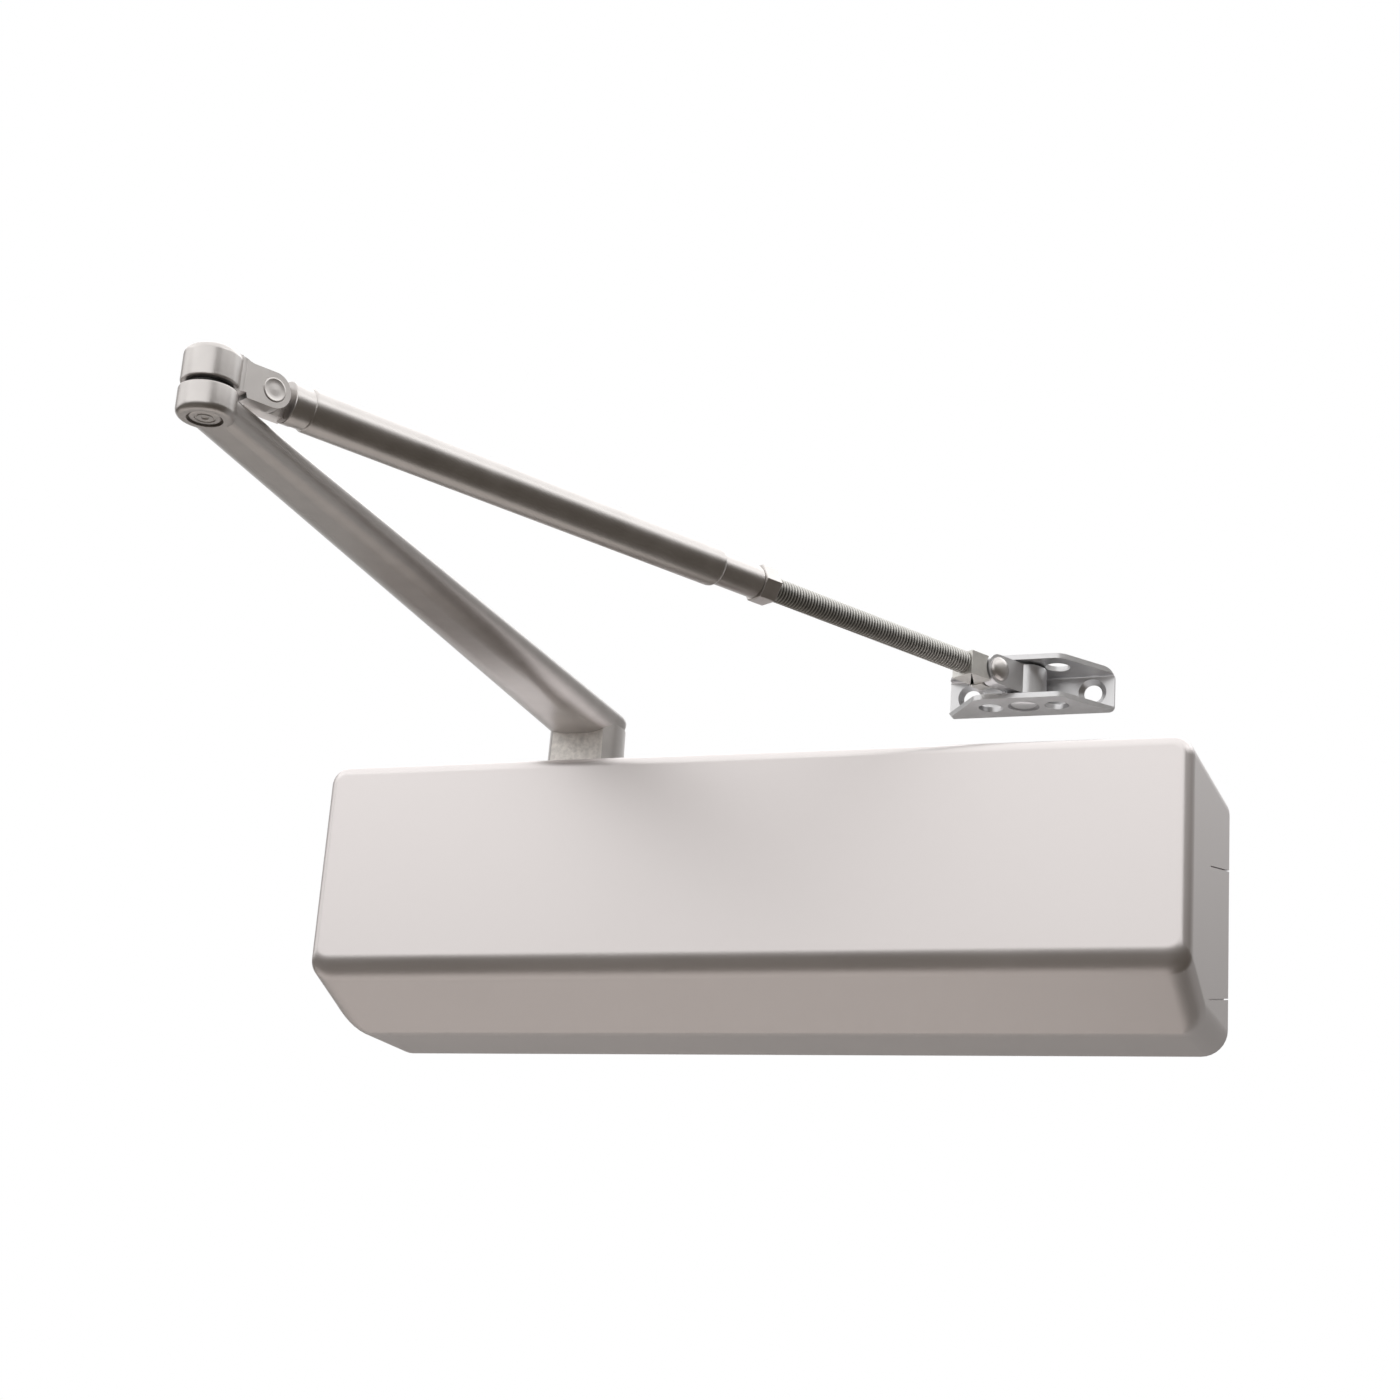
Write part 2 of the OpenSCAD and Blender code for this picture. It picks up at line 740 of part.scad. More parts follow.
// Involute of the base circle, as an angle in degrees at radius r
function involute(r, base_r) = r <= base_r ? 0 : tan(acos(base_r / r)) * 180 / PI - acos(base_r / r);

// Outline of the pinion, with a tooth space facing -Y
module pinion_outline() {
  base_r = pitch_r * cos(pressure_angle);
  half_pitch_angle = 90 / pinion_teeth - backlash / 4 / pitch_r * 180 / PI;
  steps = 6;
  radii = [root_r, for (i = [0 : steps]) base_r + (tip_r - base_r) * i / steps];
  flank = [for (r = radii) [r, half_pitch_angle + involute(pitch_r, base_r) - involute(r, base_r)]];
  points = [
    for (k = [0 : pinion_teeth - 1])
      let (a = -90 + 180 / pinion_teeth + 360 * k / pinion_teeth)
      each concat(
        [for (f = flank) f[0] * [cos(a - f[1]), sin(a - f[1])]],
        [for (i = [len(flank) - 1 : -1 : 0]) flank[i][0] * [cos(a + flank[i][1]), sin(a + flank[i][1])]]
      )
  ];
  polygon(points);
}

module pinion_spindle() {
  color([0.7, 0.7, 0.7])
  at_spindle()
  difference() {
    union() {
      z_cylinder(lower_journal_d, -lower_boss_h + gland_plug_h + move_gap, -pinion_h / 2 + journal_lap);
      translate([0, 0, -pinion_h / 2]) linear_extrude(pinion_h) pinion_outline();
      z_cylinder(upper_journal_d, pinion_h / 2 - journal_lap, hub_bottom);
      rotate([0, 0, arm_angle]) translate([-square_w / 2, -square_w / 2, hub_bottom - 1])
        cube([square_w, square_w, square_top - hub_bottom + 1]);
    }
    z_cylinder(arm_screw_d + 2 * thread_fit, square_top - arm_screw_l - 1, square_top + 1);
  }
}

module upper_bearing() {
  color([0.75, 0.75, 0.76])
  at_spindle() z_ring(bearing_od, upper_journal_d + 2 * run_fit, bearing_z, bearing_z + bearing_h);
}

module lower_bearing() {
  h = min(bearing_h, lower_boss_h - gland_plug_h - bearing_z - seat_fit);
  color([0.75, 0.75, 0.76])
  at_spindle() z_ring(bearing_od, lower_journal_d + 2 * run_fit, -bearing_z - h, -bearing_z);
}

module upper_seal() {
  color([0.15, 0.15, 0.15])
  at_spindle()
    z_ring(bearing_od, upper_journal_d + 2 * run_fit, bearing_z + bearing_h, upper_boss_h - gland_plug_h);
}

module lower_seal() {
  color([0.15, 0.15, 0.15])
  at_spindle()
    z_ring(lower_gland_flange_d, gland_plug_d + 2 * seat_fit, -lower_boss_h - lower_seal_t, -lower_boss_h);
}

module upper_gland() {
  color([0.6, 0.6, 0.62])
  at_spindle() {
    z_ring(gland_plug_d, upper_journal_d + 2 * run_fit, upper_boss_h - gland_plug_h, upper_boss_h + 1);
    z_ring(gland_flange_d, upper_journal_d + 2 * run_fit, upper_boss_h, upper_boss_h + gland_flange_h);
  }
}

module lower_gland() {
  color([0.6, 0.6, 0.62])
  at_spindle() {
    z_cylinder(gland_plug_d, -lower_boss_h - 1, -lower_boss_h + gland_plug_h - seat_fit);
    translate([0, 0, -lower_boss_h - lower_seal_t])
      z_cylinder(lower_gland_flange_d, -lower_gland_flange_h, 0);
  }
}

// ---------- Valve screws ----------

module valve_screw(k) {
  tip_y = -bore_d / 2 - 0.5;
  head_y = -cylinder_d / 2 - valve_head_rise;
  color([0.78, 0.68, 0.4])
  translate([valve_x, axis_y, k * valve_pitch])
  difference() {
    union() {
      y_cylinder(valve_d, head_y + 1, tip_y);
      y_cylinder(valve_head_d, head_y, head_y + valve_head_h);
    }
    // Slot across the head
    translate([0, head_y, 0]) cube([valve_slot_w, 2 * valve_slot_depth, valve_head_d + 2], center = true);
  }
}

module sweep_valve() { valve_screw(1); }
module latch_valve() { valve_screw(0); }
module backcheck_valve() { valve_screw(-1); }

// ---------- Main arm ----------

module arm_section(w, t) {
  rotate([90, 0, 90]) linear_extrude(section_t) scale([w / 2, t / 2]) circle(1, $fn = 48);
}

module main_arm() {
  color([0.66, 0.65, 0.65])
  difference() {
    union() {
      along_arm() {
        hull() {
          arm_section(arm_w_hub, arm_t_hub);
          translate([arm_len - section_t, 0, 0]) arm_section(arm_w_elbow, arm_t_elbow);
        }
        difference() {
          z_cylinder(hub_d, hub_bottom - arm_z, hub_top - arm_z);
          // Flat on the hub's front, below the arm
          translate([hub_flat, -hub_d, hub_bottom - arm_z - 1])
            cube([hub_d, 2 * hub_d, arm_z - hub_bottom + 1]);
        }
      }
      at_elbow() z_cylinder(elbow_d, arm_eye_bottom, arm_eye_top);
    }
    at_spindle() rotate([0, 0, arm_angle])
      translate([-square_hole_w / 2, -square_hole_w / 2, hub_bottom - 1])
        cube([square_hole_w, square_hole_w, hub_top - hub_bottom + 2]);
    at_elbow() {
      z_cylinder(elbow_pin_d + 2 * run_fit, arm_eye_bottom - 5, arm_eye_top + 5);
      z_cylinder(elbow_recess_d, arm_eye_bottom - 5, arm_eye_bottom + elbow_recess);
      // The arm is flat above its eye
      z_cylinder(elbow_d + 1, arm_eye_top, arm_eye_top + 5);
    }
  }
}

module arm_washer() {
  color([0.7, 0.7, 0.7])
  at_spindle() z_ring(arm_washer_d, arm_screw_d + 0.4, hub_top, hub_top + arm_washer_t);
}

module arm_screw() {
  head_z = hub_top + arm_washer_t;
  color([0.55, 0.55, 0.56])
  at_spindle()
  difference() {
    union() {
      z_cylinder(arm_screw_d, hub_top - arm_screw_l, head_z + 1);
      z_cylinder(arm_head_d, head_z, head_z + arm_head_h);
    }
    translate([0, 0, head_z + arm_head_h - arm_socket_depth])
      cylinder(h = arm_socket_depth + 1, d = arm_socket_d, $fn = 6);
  }
}

// ---------- Elbow ----------

module elbow_rivet() {
  color([0.6, 0.59, 0.59])
  at_elbow() {
    z_cylinder(elbow_pin_d, arm_eye_bottom + elbow_recess - 0.2, knuckle_top + 1);
    difference() {
      z_cylinder(elbow_head_d, arm_eye_bottom + elbow_head_rise, arm_eye_bottom + elbow_recess);
      z_cylinder(elbow_dimple_d, arm_eye_bottom, arm_eye_bottom + elbow_head_rise + elbow_dimple_depth);
    }
    translate([0, 0, knuckle_top + seat_fit]) z_cylinder(elbow_top_head_d, 0, elbow_top_head_h);
  }
}

module elbow_washer() {
  color([0.25, 0.25, 0.25])
  at_elbow()
    z_ring(elbow_washer_d, elbow_pin_d + 2 * run_fit, arm_eye_top, knuckle_bottom - elbow_washer_play);
}

// A plate lapped beside the arm's line, from s0 to a round end at s1
module lap_plate(s0, s1, side, h) {
  y0 = side > 0 ? lap_play : -lap_play - lap_t;
  from = min(s0, s1);
  translate([from, y0, -h / 2]) cube([abs(s1 - s0), lap_t, h]);
  translate([s1, 0, 0]) y_cylinder(h, y0, y0 + lap_t);
}

module elbow_knuckle() {
  color([0.7, 0.69, 0.69])
  difference() {
    union() {
      at_elbow() z_cylinder(knuckle_d, knuckle_bottom, knuckle_top);
      difference() {
        along_forearm() lap_plate(0, elbow_tilt_x, -1, lap_h);
        // The plate hangs lower than the knuckle, and is cut back round the arm's eye
        at_elbow() z_cylinder(elbow_d + 2 * move_gap, arm_eye_bottom, knuckle_bottom);
      }
    }
    at_elbow() z_cylinder(elbow_pin_d + 2 * run_fit, knuckle_bottom - 1, knuckle_top + 1);
    along_forearm(elbow_tilt_x) y_cylinder(tilt_pin_d, -2 * lap_t, 2 * lap_t);
  }
}

module tilt_rivet(s) {
  outer = lap_play + lap_t;
  color([0.62, 0.61, 0.61])
  along_forearm(s) {
    y_cylinder(tilt_pin_d, -outer - 0.5, outer + 0.5);
    y_cylinder(tilt_head_d, -outer - tilt_head_h, -outer);
    y_cylinder(tilt_head_d, outer + seat_fit, outer + seat_fit + tilt_head_h);
  }
}

module elbow_tilt_rivet() { tilt_rivet(elbow_tilt_x); }

// ---------- Forearm ----------

module forearm_fitting() {
  color([0.66, 0.65, 0.65])
  along_forearm()
  difference() {
    union() {
      lap_plate(fitting_step + 1, elbow_tilt_x, 1, lap_h - 0.8);
      x_cylinder(fitting_d, fitting_step, tube_start);
      x_cylinder(tube_bore - 2 * seat_fit, tube_start - 1, tube_start + spigot_l);
    }
    translate([elbow_tilt_x, 0, 0]) y_cylinder(tilt_pin_d + 2 * run_fit, -2 * lap_t, 2 * lap_t);
  }
}

module forearm_tube() {
  color([0.6, 0.59, 0.58])
  along_forearm()
  difference() {
    union() {
      x_cylinder(tube_d, tube_start, tube_end);
      x_cylinder(neck_d, tube_end - 1, neck_end);
    }
    x_cylinder(tube_bore, tube_start - 1, tube_end - tube_wall_end);
    x_cylinder(rod_d + 2 * run_fit, tube_start, neck_end + 1);
  }
}

module jam_nut() {
  color([0.6, 0.59, 0.58])
  along_forearm()
  difference() {
    translate([neck_end + run_fit, 0, 0]) rotate([0, 90, 0])
      cylinder(h = nut_l, d = nut_af / cos(30), $fn = 6);
    x_cylinder(rod_d + 2 * run_fit, neck_end - 1, nut_end + 1);
  }
}

module threaded_rod() {
  color([0.55, 0.54, 0.52])
  along_forearm()
  difference() {
    union() {
      x_cylinder(rod_d, rod_start, thread_end);
      x_cylinder(rod_d - 1, thread_end - 1, rod_shoulder);
      lap_plate(rod_shoulder - 1, shoe_tilt_s, 1, eye_h);
    }
    translate([shoe_tilt_s, 0, 0]) y_cylinder(tilt_pin_d + 2 * run_fit, -2 * lap_t, 2 * lap_t);
  }
}

// ---------- Shoe ----------

module shoe_tilt_rivet() { tilt_rivet(shoe_tilt_s); }

module shoe_knuckle() {
  color([0.62, 0.61, 0.6])
  difference() {
    union() {
      at_shoe() z_cylinder(barrel_d, -barrel_h / 2, barrel_h / 2);
      along_forearm() lap_plate(forearm_len, shoe_tilt_s, -1, lap_h);
    }
    at_shoe() z_cylinder(shoe_pin_d + 2 * run_fit, -barrel_h, barrel_h);
    along_forearm(shoe_tilt_s) y_cylinder(tilt_pin_d, -2 * lap_t, 2 * lap_t);
  }
}

module shoe_pin() {
  color([0.6, 0.59, 0.58])
  at_shoe() {
    z_cylinder(shoe_pin_d, -shoe_gap_half - 1, shoe_gap_half + 1);
    z_cylinder(shoe_pin_end_d, shoe_gap_half, shoe_h / 2);
    z_cylinder(shoe_pin_end_d, -shoe_h / 2, -shoe_gap_half);
  }
}

// Outline of a flange, with its long side against the back plate
module flange_outline() {
  polygon([
    [-flange_edge_l / 2, -flange_reach], [flange_edge_l / 2, -flange_reach],
    [shoe_l / 2, shoe_back - shoe_side_d], [shoe_l / 2, shoe_back],
    [-shoe_l / 2, shoe_back], [-shoe_l / 2, shoe_back - shoe_side_d]
  ]);
}

module shoe_bracket() {
  color([0.7, 0.69, 0.69])
  at_shoe()
  difference() {
    linear_extrude(shoe_h, center = true) flange_outline();
    // Space between the flanges, in front of the back plate
    translate([-shoe_l, -shoe_l, -shoe_gap_half])
      cube([2 * shoe_l, shoe_l + shoe_back - shoe_t, 2 * shoe_gap_half]);
    z_cylinder(shoe_pin_end_d + 2 * seat_fit, -shoe_h, shoe_h);
    for (side = [-1, 1]) {
      translate([side * flange_hole_span / 2, 0, 0]) z_cylinder(flange_hole_d, -shoe_h, shoe_h);
      translate([side * back_hole_span / 2, 0, 0]) y_cylinder(back_hole_d, 0, shoe_back + 1);
      translate([side * back_hole_span / 2, shoe_back - shoe_t - eps, 0]) rotate([-90, 0, 0])
        cylinder(h = shoe_sink_depth, d1 = back_sink_d, d2 = back_hole_d);
    }
  }
}

closer_body();
valve_end_cap();
spring_end_cap();
end_cap_seals();
rack_piston();
piston_rings();
closing_spring();
spring_plate();
power_screw();
pinion_spindle();
upper_bearing();
lower_bearing();
upper_seal();
lower_seal();
upper_gland();
lower_gland();
sweep_valve();
latch_valve();
backcheck_valve();
left_cover_clip();
right_cover_clip();
clip_screws();
cover();
main_arm();
arm_washer();
arm_screw();
elbow_rivet();
elbow_washer();
elbow_knuckle();
elbow_tilt_rivet();
forearm_fitting();
forearm_tube();
jam_nut();
threaded_rod();
shoe_tilt_rivet();
shoe_knuckle();
shoe_pin();
shoe_bracket();
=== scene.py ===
import json
import math

import bpy
from mathutils import Matrix, Vector


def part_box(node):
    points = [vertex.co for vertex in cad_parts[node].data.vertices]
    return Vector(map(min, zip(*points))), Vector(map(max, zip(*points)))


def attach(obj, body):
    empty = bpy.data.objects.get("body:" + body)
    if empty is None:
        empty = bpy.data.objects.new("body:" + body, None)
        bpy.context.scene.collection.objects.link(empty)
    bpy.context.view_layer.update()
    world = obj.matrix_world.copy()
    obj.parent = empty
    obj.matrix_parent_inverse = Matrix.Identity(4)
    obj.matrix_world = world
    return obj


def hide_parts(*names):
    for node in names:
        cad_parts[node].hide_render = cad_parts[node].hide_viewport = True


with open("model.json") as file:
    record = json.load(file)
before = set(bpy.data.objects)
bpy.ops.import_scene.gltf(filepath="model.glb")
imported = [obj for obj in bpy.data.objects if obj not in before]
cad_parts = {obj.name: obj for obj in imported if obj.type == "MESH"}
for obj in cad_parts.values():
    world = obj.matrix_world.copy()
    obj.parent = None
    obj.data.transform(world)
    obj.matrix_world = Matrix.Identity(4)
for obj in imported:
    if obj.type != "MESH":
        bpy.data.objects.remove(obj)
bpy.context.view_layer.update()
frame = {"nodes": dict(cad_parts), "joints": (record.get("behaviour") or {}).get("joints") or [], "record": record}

MM = 0.001

# ---------------------------------------------------------------- places

joints = {joint["name"]: joint for joint in frame["joints"]}
SPINDLE = Vector(joints["spindle_turn"]["pos_m"])
ELBOW = Vector(joints["elbow_turn"]["pos_m"])
ELBOW_TILT = Vector(joints["elbow_tilt"]["pos_m"])
SHOE_TILT = Vector(joints["shoe_tilt"]["pos_m"])
SHOE_PIVOT = Vector(joints["shoe_turn"]["pos_m"])
ALONG = Vector(joints["jam_nut_turn"]["axis"])

# Local frames: +X runs along the arm to the elbow, along the forearm to the shoe, and along the shoe
ARM = Matrix.Translation((SPINDLE.x, SPINDLE.y, 0)) @ Matrix.Rotation(
    math.atan2(ELBOW.y - SPINDLE.y, ELBOW.x - SPINDLE.x), 4, "Z"
)
FOREARM = Matrix.Translation((ELBOW.x, ELBOW.y, ELBOW_TILT.z)) @ Matrix.Rotation(
    math.atan2(ALONG.y, ALONG.x), 4, "Z"
)
SHOE = Matrix.Translation(SHOE_PIVOT)
ELBOW_UP = Matrix.Translation((ELBOW.x, ELBOW.y, 0))

# A piece drawn upright is laid along X or along Y
LAY_X = Matrix.Rotation(math.pi / 2, 4, "Y")
LAY_Y = Matrix.Rotation(-math.pi / 2, 4, "X")


def box_in(node, place):
    """Lowest and highest corners of a CAD node, in a local frame."""
    inside = place.inverted()
    points = [inside @ v.co for v in frame["nodes"][node].data.vertices]
    low = Vector([min(p[i] for p in points) for i in range(3)])
    high = Vector([max(p[i] for p in points) for i in range(3)])
    return low, high


# ---------------------------------------------------------------- modelling steps


def only(*pieces):
    """Selects these pieces and nothing else, in object mode."""
    if bpy.context.mode != "OBJECT":
        bpy.ops.object.mode_set(mode="OBJECT")
    bpy.ops.object.select_all(action="DESELECT")
    for piece in pieces:
        piece.select_set(True)
    bpy.context.view_layer.objects.active = pieces[0]


def edit(piece):
    only(piece)
    bpy.ops.object.mode_set(mode="EDIT")


def done():
    bpy.ops.object.mode_set(mode="OBJECT")


def named(name):
    piece = bpy.context.object
    piece.name = name
    piece.data.name = name
    return piece


def place(piece, where):
    """Moves a finished piece into place and leaves its object at the origin."""
    only(piece)
    piece.matrix_world = where @ piece.matrix_world
    bpy.ops.object.transform_apply(location=True, rotation=True, scale=True)
    return piece


def block(name, low, high):
    """A box between two corners."""
    low, high = Vector(low), Vector(high)
    bpy.ops.object.select_all(action="DESELECT")
    bpy.ops.mesh.primitive_cube_add(size=1, location=(low + high) / 2)
    piece = named(name)
    piece.scale = high - low
    bpy.ops.object.transform_apply(location=True, rotation=True, scale=True)
    return piece


def drawn(name, sections, sides=64, bored=False):
    """A piece pulled up through oval sections (height, half width in X, half width in Y)."""
    height, half_x, half_y = sections[0]
    bpy.ops.object.select_all(action="DESELECT")
    fill = "NOTHING" if bored else "NGON"
    bpy.ops.mesh.primitive_circle_add(vertices=sides, radius=1, fill_type=fill, enter_editmode=True)
    bpy.ops.transform.resize(value=(half_x, half_y, 1), center_override=(0, 0, 0))
    bpy.ops.transform.translate(value=(0, 0, height))
    for next_height, next_x, next_y in sections[1:]:
        bpy.ops.mesh.extrude_region_move(TRANSFORM_OT_translate={"value": (0, 0, next_height - height)})
        bpy.ops.transform.resize(
            value=(next_x / half_x, next_y / half_y, 1), center_override=(0, 0, next_height)
        )
        height, half_x, half_y = next_height, next_x, next_y
    if bored:
        # The last section lies on the first one, so the two ends meet as one ring
        bpy.ops.mesh.select_all(action="SELECT")
        bpy.ops.mesh.remove_doubles(threshold=0.001 * MM)
    bpy.ops.mesh.select_all(action="SELECT")
    bpy.ops.mesh.normals_make_consistent(inside=False)
    done()
    return named(name)


def pulled(name, outline, sections):
    """A piece pulled up through sections of one outline, which goes from -1 to 1 both ways.

    The outline's first direction runs along Y, and its second against X."""
    height, half_x, half_y = sections[0]
    draw_line([(-z * half_x, y * half_y, height) for y, z in outline])
    bpy.ops.mesh.select_all(action="SELECT")
    bpy.ops.mesh.edge_face_add()
    for next_height, next_x, next_y in sections[1:]:
        bpy.ops.mesh.extrude_region_move(TRANSFORM_OT_translate={"value": (0, 0, next_height - height)})
        bpy.ops.transform.resize(
            value=(next_x / half_x, next_y / half_y, 1), center_override=(0, 0, next_height)
        )
        height, half_x, half_y = next_height, next_x, next_y
    bpy.ops.mesh.select_all(action="SELECT")
    bpy.ops.mesh.normals_make_consistent(inside=False)
    done()
    return named(name)


def turned(name, rings, sides=64, bored=False):
    """A turned piece from (height, radius) rings, lowest first."""
    return drawn(name, [(h, r, r) for h, r in rings], sides, bored)


def arc(cx, cy, radius, start, end, steps, squash=1.0):
    """Points of an arc, with its angles in degrees, squashed in its first direction."""
    angles = [math.radians(start + (end - start) * k / steps) for k in range(steps + 1)]
    return [(cx + radius * squash * math.cos(a), cy + radius * math.sin(a)) for a in angles]


def draw_line(points):
    """Draws a line point by point, and stays in edit mode with its last point selected."""
    bpy.ops.object.select_all(action="DESELECT")
    bpy.ops.mesh.primitive_plane_add(size=0.01, enter_editmode=True)
    bpy.ops.mesh.select_mode(type="VERT")
    bpy.ops.mesh.merge(type="CENTER")
    bpy.ops.transform.translate(value=points[0])
    for start, end in zip(points, points[1:]):
        step = Vector(end) - Vector(start)
        bpy.ops.mesh.extrude_region_move(TRANSFORM_OT_translate={"value": step})


def prism(name, outline, low, high):
    """An outline in the XY plane, filled and pulled up."""
    draw_line([(x, y, low) for x, y in outline])
    bpy.ops.mesh.select_all(action="SELECT")
    bpy.ops.mesh.edge_face_add()
    bpy.ops.mesh.extrude_region_move(TRANSFORM_OT_translate={"value": (0, 0, high - low)})
    bpy.ops.mesh.select_all(action="SELECT")
    bpy.ops.mesh.normals_make_consistent(inside=False)
    done()
    return named(name)


def modify(piece, kind, **settings):
    """Adds a modifier, sets it and applies it."""
    only(piece)
    modifier = piece.modifiers.new(kind.lower(), kind)
    for key, value in settings.items():
        setattr(modifier, key, value)
    bpy.ops.object.modifier_apply(modifier=modifier.name)
    return piece


def combine(piece, other, operation):
    modify(piece, "BOOLEAN", operation=operation, solver="EXACT", object=other)
    bpy.data.objects.remove(other)
    return piece


def fuse(piece, *others):
    for other in others:
        combine(piece, other, "UNION")
    return piece


def cut(piece, *cutters):
    for cutter in cutters:
        combine(piece, cutter, "DIFFERENCE")
    return piece


def trim(piece, keeper):
    return combine(piece, keeper, "INTERSECT")


def pick_edges(piece, test):
    """Goes into edit mode with the edges selected whose two ends pass a test."""
    edit(piece)
    bpy.ops.mesh.select_mode(type="EDGE")
    bpy.ops.mesh.select_all(action="DESELECT")
    done()
    points = piece.data.vertices
    for edge in piece.data.edges:
        a, b = (points[i].co for i in edge.vertices)
        edge.select = bool(test(a, b))
    bpy.ops.object.mode_set(mode="EDIT")


def round_edges(piece, test, radius, segments=4):
    pick_edges(piece, test)
    bpy.ops.mesh.bevel(
        offset_type="OFFSET", offset=radius, segments=segments, profile=0.5, affect="EDGES", clamp_overlap=True
    )
    done()
    return piece


def soften(piece, radius, angle=35, segments=3):
    """Rounds every sharp edge a little."""
    return modify(
        piece, "BEVEL", width=radius, segments=segments, limit_method="ANGLE",
        angle_limit=math.radians(angle), use_clamp_overlap=True, harden_normals=False,
    )


def smooth(piece, angle=40):
    only(piece)
    bpy.ops.object.shade_smooth_by_angle(angle=math.radians(angle), keep_sharp_edges=False)
    return modify(piece, "WEIGHTED_NORMAL", keep_sharp=True, weight=50)


def finished(piece, material, body, slot, *nodes):
    """Gives a piece its finish and body, and hides the CAD nodes it stands for. The slot argument is not used."""
    piece.data.materials.clear()
    piece.data.materials.append(material)
    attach(piece, body)
    if nodes:
        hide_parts(*nodes)
    return piece


# ---------------------------------------------------------------- materials


def new_material(name):
    material = bpy.data.materials.new(name)
    material.use_nodes = True
    nodes, links = material.node_tree.nodes, material.node_tree.links
    return material, nodes, links, nodes["Principled BSDF"]


def finish_material(
    name, colour, metallic, roughness, mottle=0.04, mottle_size=14, grain_size=0.6, grain=0.12,
    rough_spread=0.05, coat=0.0, stretch=(1, 1, 1),
):
    """A metal, paint or plastic finish: cloudy colour, uneven gloss and a fine grain. Sizes are in mm."""
    material, nodes, links, shader = new_material(name)
    shader.inputs["Metallic"].default_value = metallic
    shader.inputs["Coat Weight"].default_value = coat
    shader.inputs["Coat Roughness"].default_value = 0.25
    where = nodes.new("ShaderNodeTexCoord")
    mapping = nodes.new("ShaderNodeMapping")
    mapping.inputs["Scale"].default_value = stretch
    links.new(where.outputs["Object"], mapping.inputs["Vector"])

    clouds = nodes.new("ShaderNodeTexNoise")
    clouds.inputs["Scale"].default_value = 1 / (mottle_size * MM)
    clouds.inputs["Detail"].default_value = 5
    links.new(mapping.outputs["Vector"], clouds.inputs["Vector"])
    tint = nodes.new("ShaderNodeValToRGB")
    tint.color_ramp.elements[0].position = 0.3
    tint.color_ramp.elements[0].color = (*[c * (1 - mottle) for c in colour], 1)
    tint.color_ramp.elements[1].position = 0.7
    tint.color_ramp.elements[1].color = (*[min(c * (1 + mottle), 1) for c in colour], 1)
    links.new(clouds.outputs["Fac"], tint.inputs["Fac"])
    links.new(tint.outputs["Color"], shader.inputs["Base Color"])

    gloss = nodes.new("ShaderNodeMapRange")
    gloss.inputs["To Min"].default_value = roughness - rough_spread
    gloss.inputs["To Max"].default_value = roughness + rough_spread
    links.new(clouds.outputs["Fac"], gloss.inputs["Value"])
    links.new(gloss.outputs["Result"], shader.inputs["Roughness"])

    pores = nodes.new("ShaderNodeTexNoise")
    pores.inputs["Scale"].default_value = 1 / (grain_size * MM)
    pores.inputs["Detail"].default_value = 3
    links.new(mapping.outputs["Vector"], pores.inputs["Vector"])
    bump = nodes.new("ShaderNodeBump")
    bump.inputs["Strength"].default_value = grain
    bump.inputs["Distance"].default_value = 0.1 * MM
    links.new(pores.outputs["Fac"], bump.inputs["Height"])
    links.new(bump.outputs["Normal"], shader.inputs["Normal"])
    return material


COVER_PAINT = finish_material("cover_paint", (0.765, 0.728, 0.723), 0.85, 0.38, 0.02, 60, 1.2, 0.05)
ARM_PAINT = finish_material("arm_paint", (0.64, 0.615, 0.60), 0.92, 0.33, 0.05, 9, 1.1, 0.05)
# The hub's cast front: a real rough finish, with its colour raised above the arm's as painted light on that face.
ROUGH_CAST_AND_PAINTED_LIGHT = finish_material("rough_cast_and_painted_light", (0.86, 0.83, 0.79), 0.55, 0.5, 0.16, 1.8, 0.8, 0.9)
SHOE_PAINT = finish_material("shoe_paint", (0.70, 0.70, 0.71), 0.85, 0.35, 0.05, 7, 1.1, 0.05)
THREAD_PAINT = finish_material("thread_paint", (0.74, 0.73, 0.70), 0.8, 0.36, 0.06, 3, 1.1, 0.05)
CAST_IRON = finish_material("cast_body_paint", (0.20, 0.205, 0.215), 0.3, 0.55, 0.12, 4, 0.7, 0.6)
TURNED_STEEL = finish_material("turned_steel", (0.50, 0.50, 0.51), 0.95, 0.33, 0.06, 6, 1.0, 0.06)
GROUND_STEEL = finish_material("ground_steel", (0.60, 0.60, 0.61), 1.0, 0.26, 0.05, 8, 0.4, 0.08)
SPRING_STEEL = finish_material("oiled_spring_steel", (0.16, 0.16, 0.17), 0.9, 0.38, 0.15, 5, 0.6, 0.2)
ZINC = finish_material("zinc_plate", (0.62, 0.62, 0.60), 0.9, 0.36, 0.10, 7, 1.0, 0.06)
BRASS = finish_material("turned_brass", (0.70, 0.52, 0.22), 0.95, 0.3, 0.08, 5, 0.5, 0.1)
RUBBER = finish_material("seal_rubber", (0.03, 0.03, 0.03), 0.0, 0.65, 0.2, 2, 0.4, 0.2)
NYLON = finish_material("washer_nylon", (0.02, 0.02, 0.02), 0.0, 0.5, 0.2, 3, 0.5, 0.1)

SLOT_FINISH = {
    "silver_cover": COVER_PAINT,
    "silver_paint": ARM_PAINT,
    "cast_body": CAST_IRON,
    "cap_steel": TURNED_STEEL,
    "seal_rubber": RUBBER,
    "ground_steel": GROUND_STEEL,
    "spring_steel": SPRING_STEEL,
    "clip_steel": ZINC,
    "valve_brass": BRASS,
    "washer_nylon": NYLON,
}
for part in frame["record"]["subparts"]:
    for material_slot in frame["nodes"][part["node"]].material_slots:
        material_slot.material = SLOT_FINISH[part["material_slot"]]

# ---------------------------------------------------------------- cover

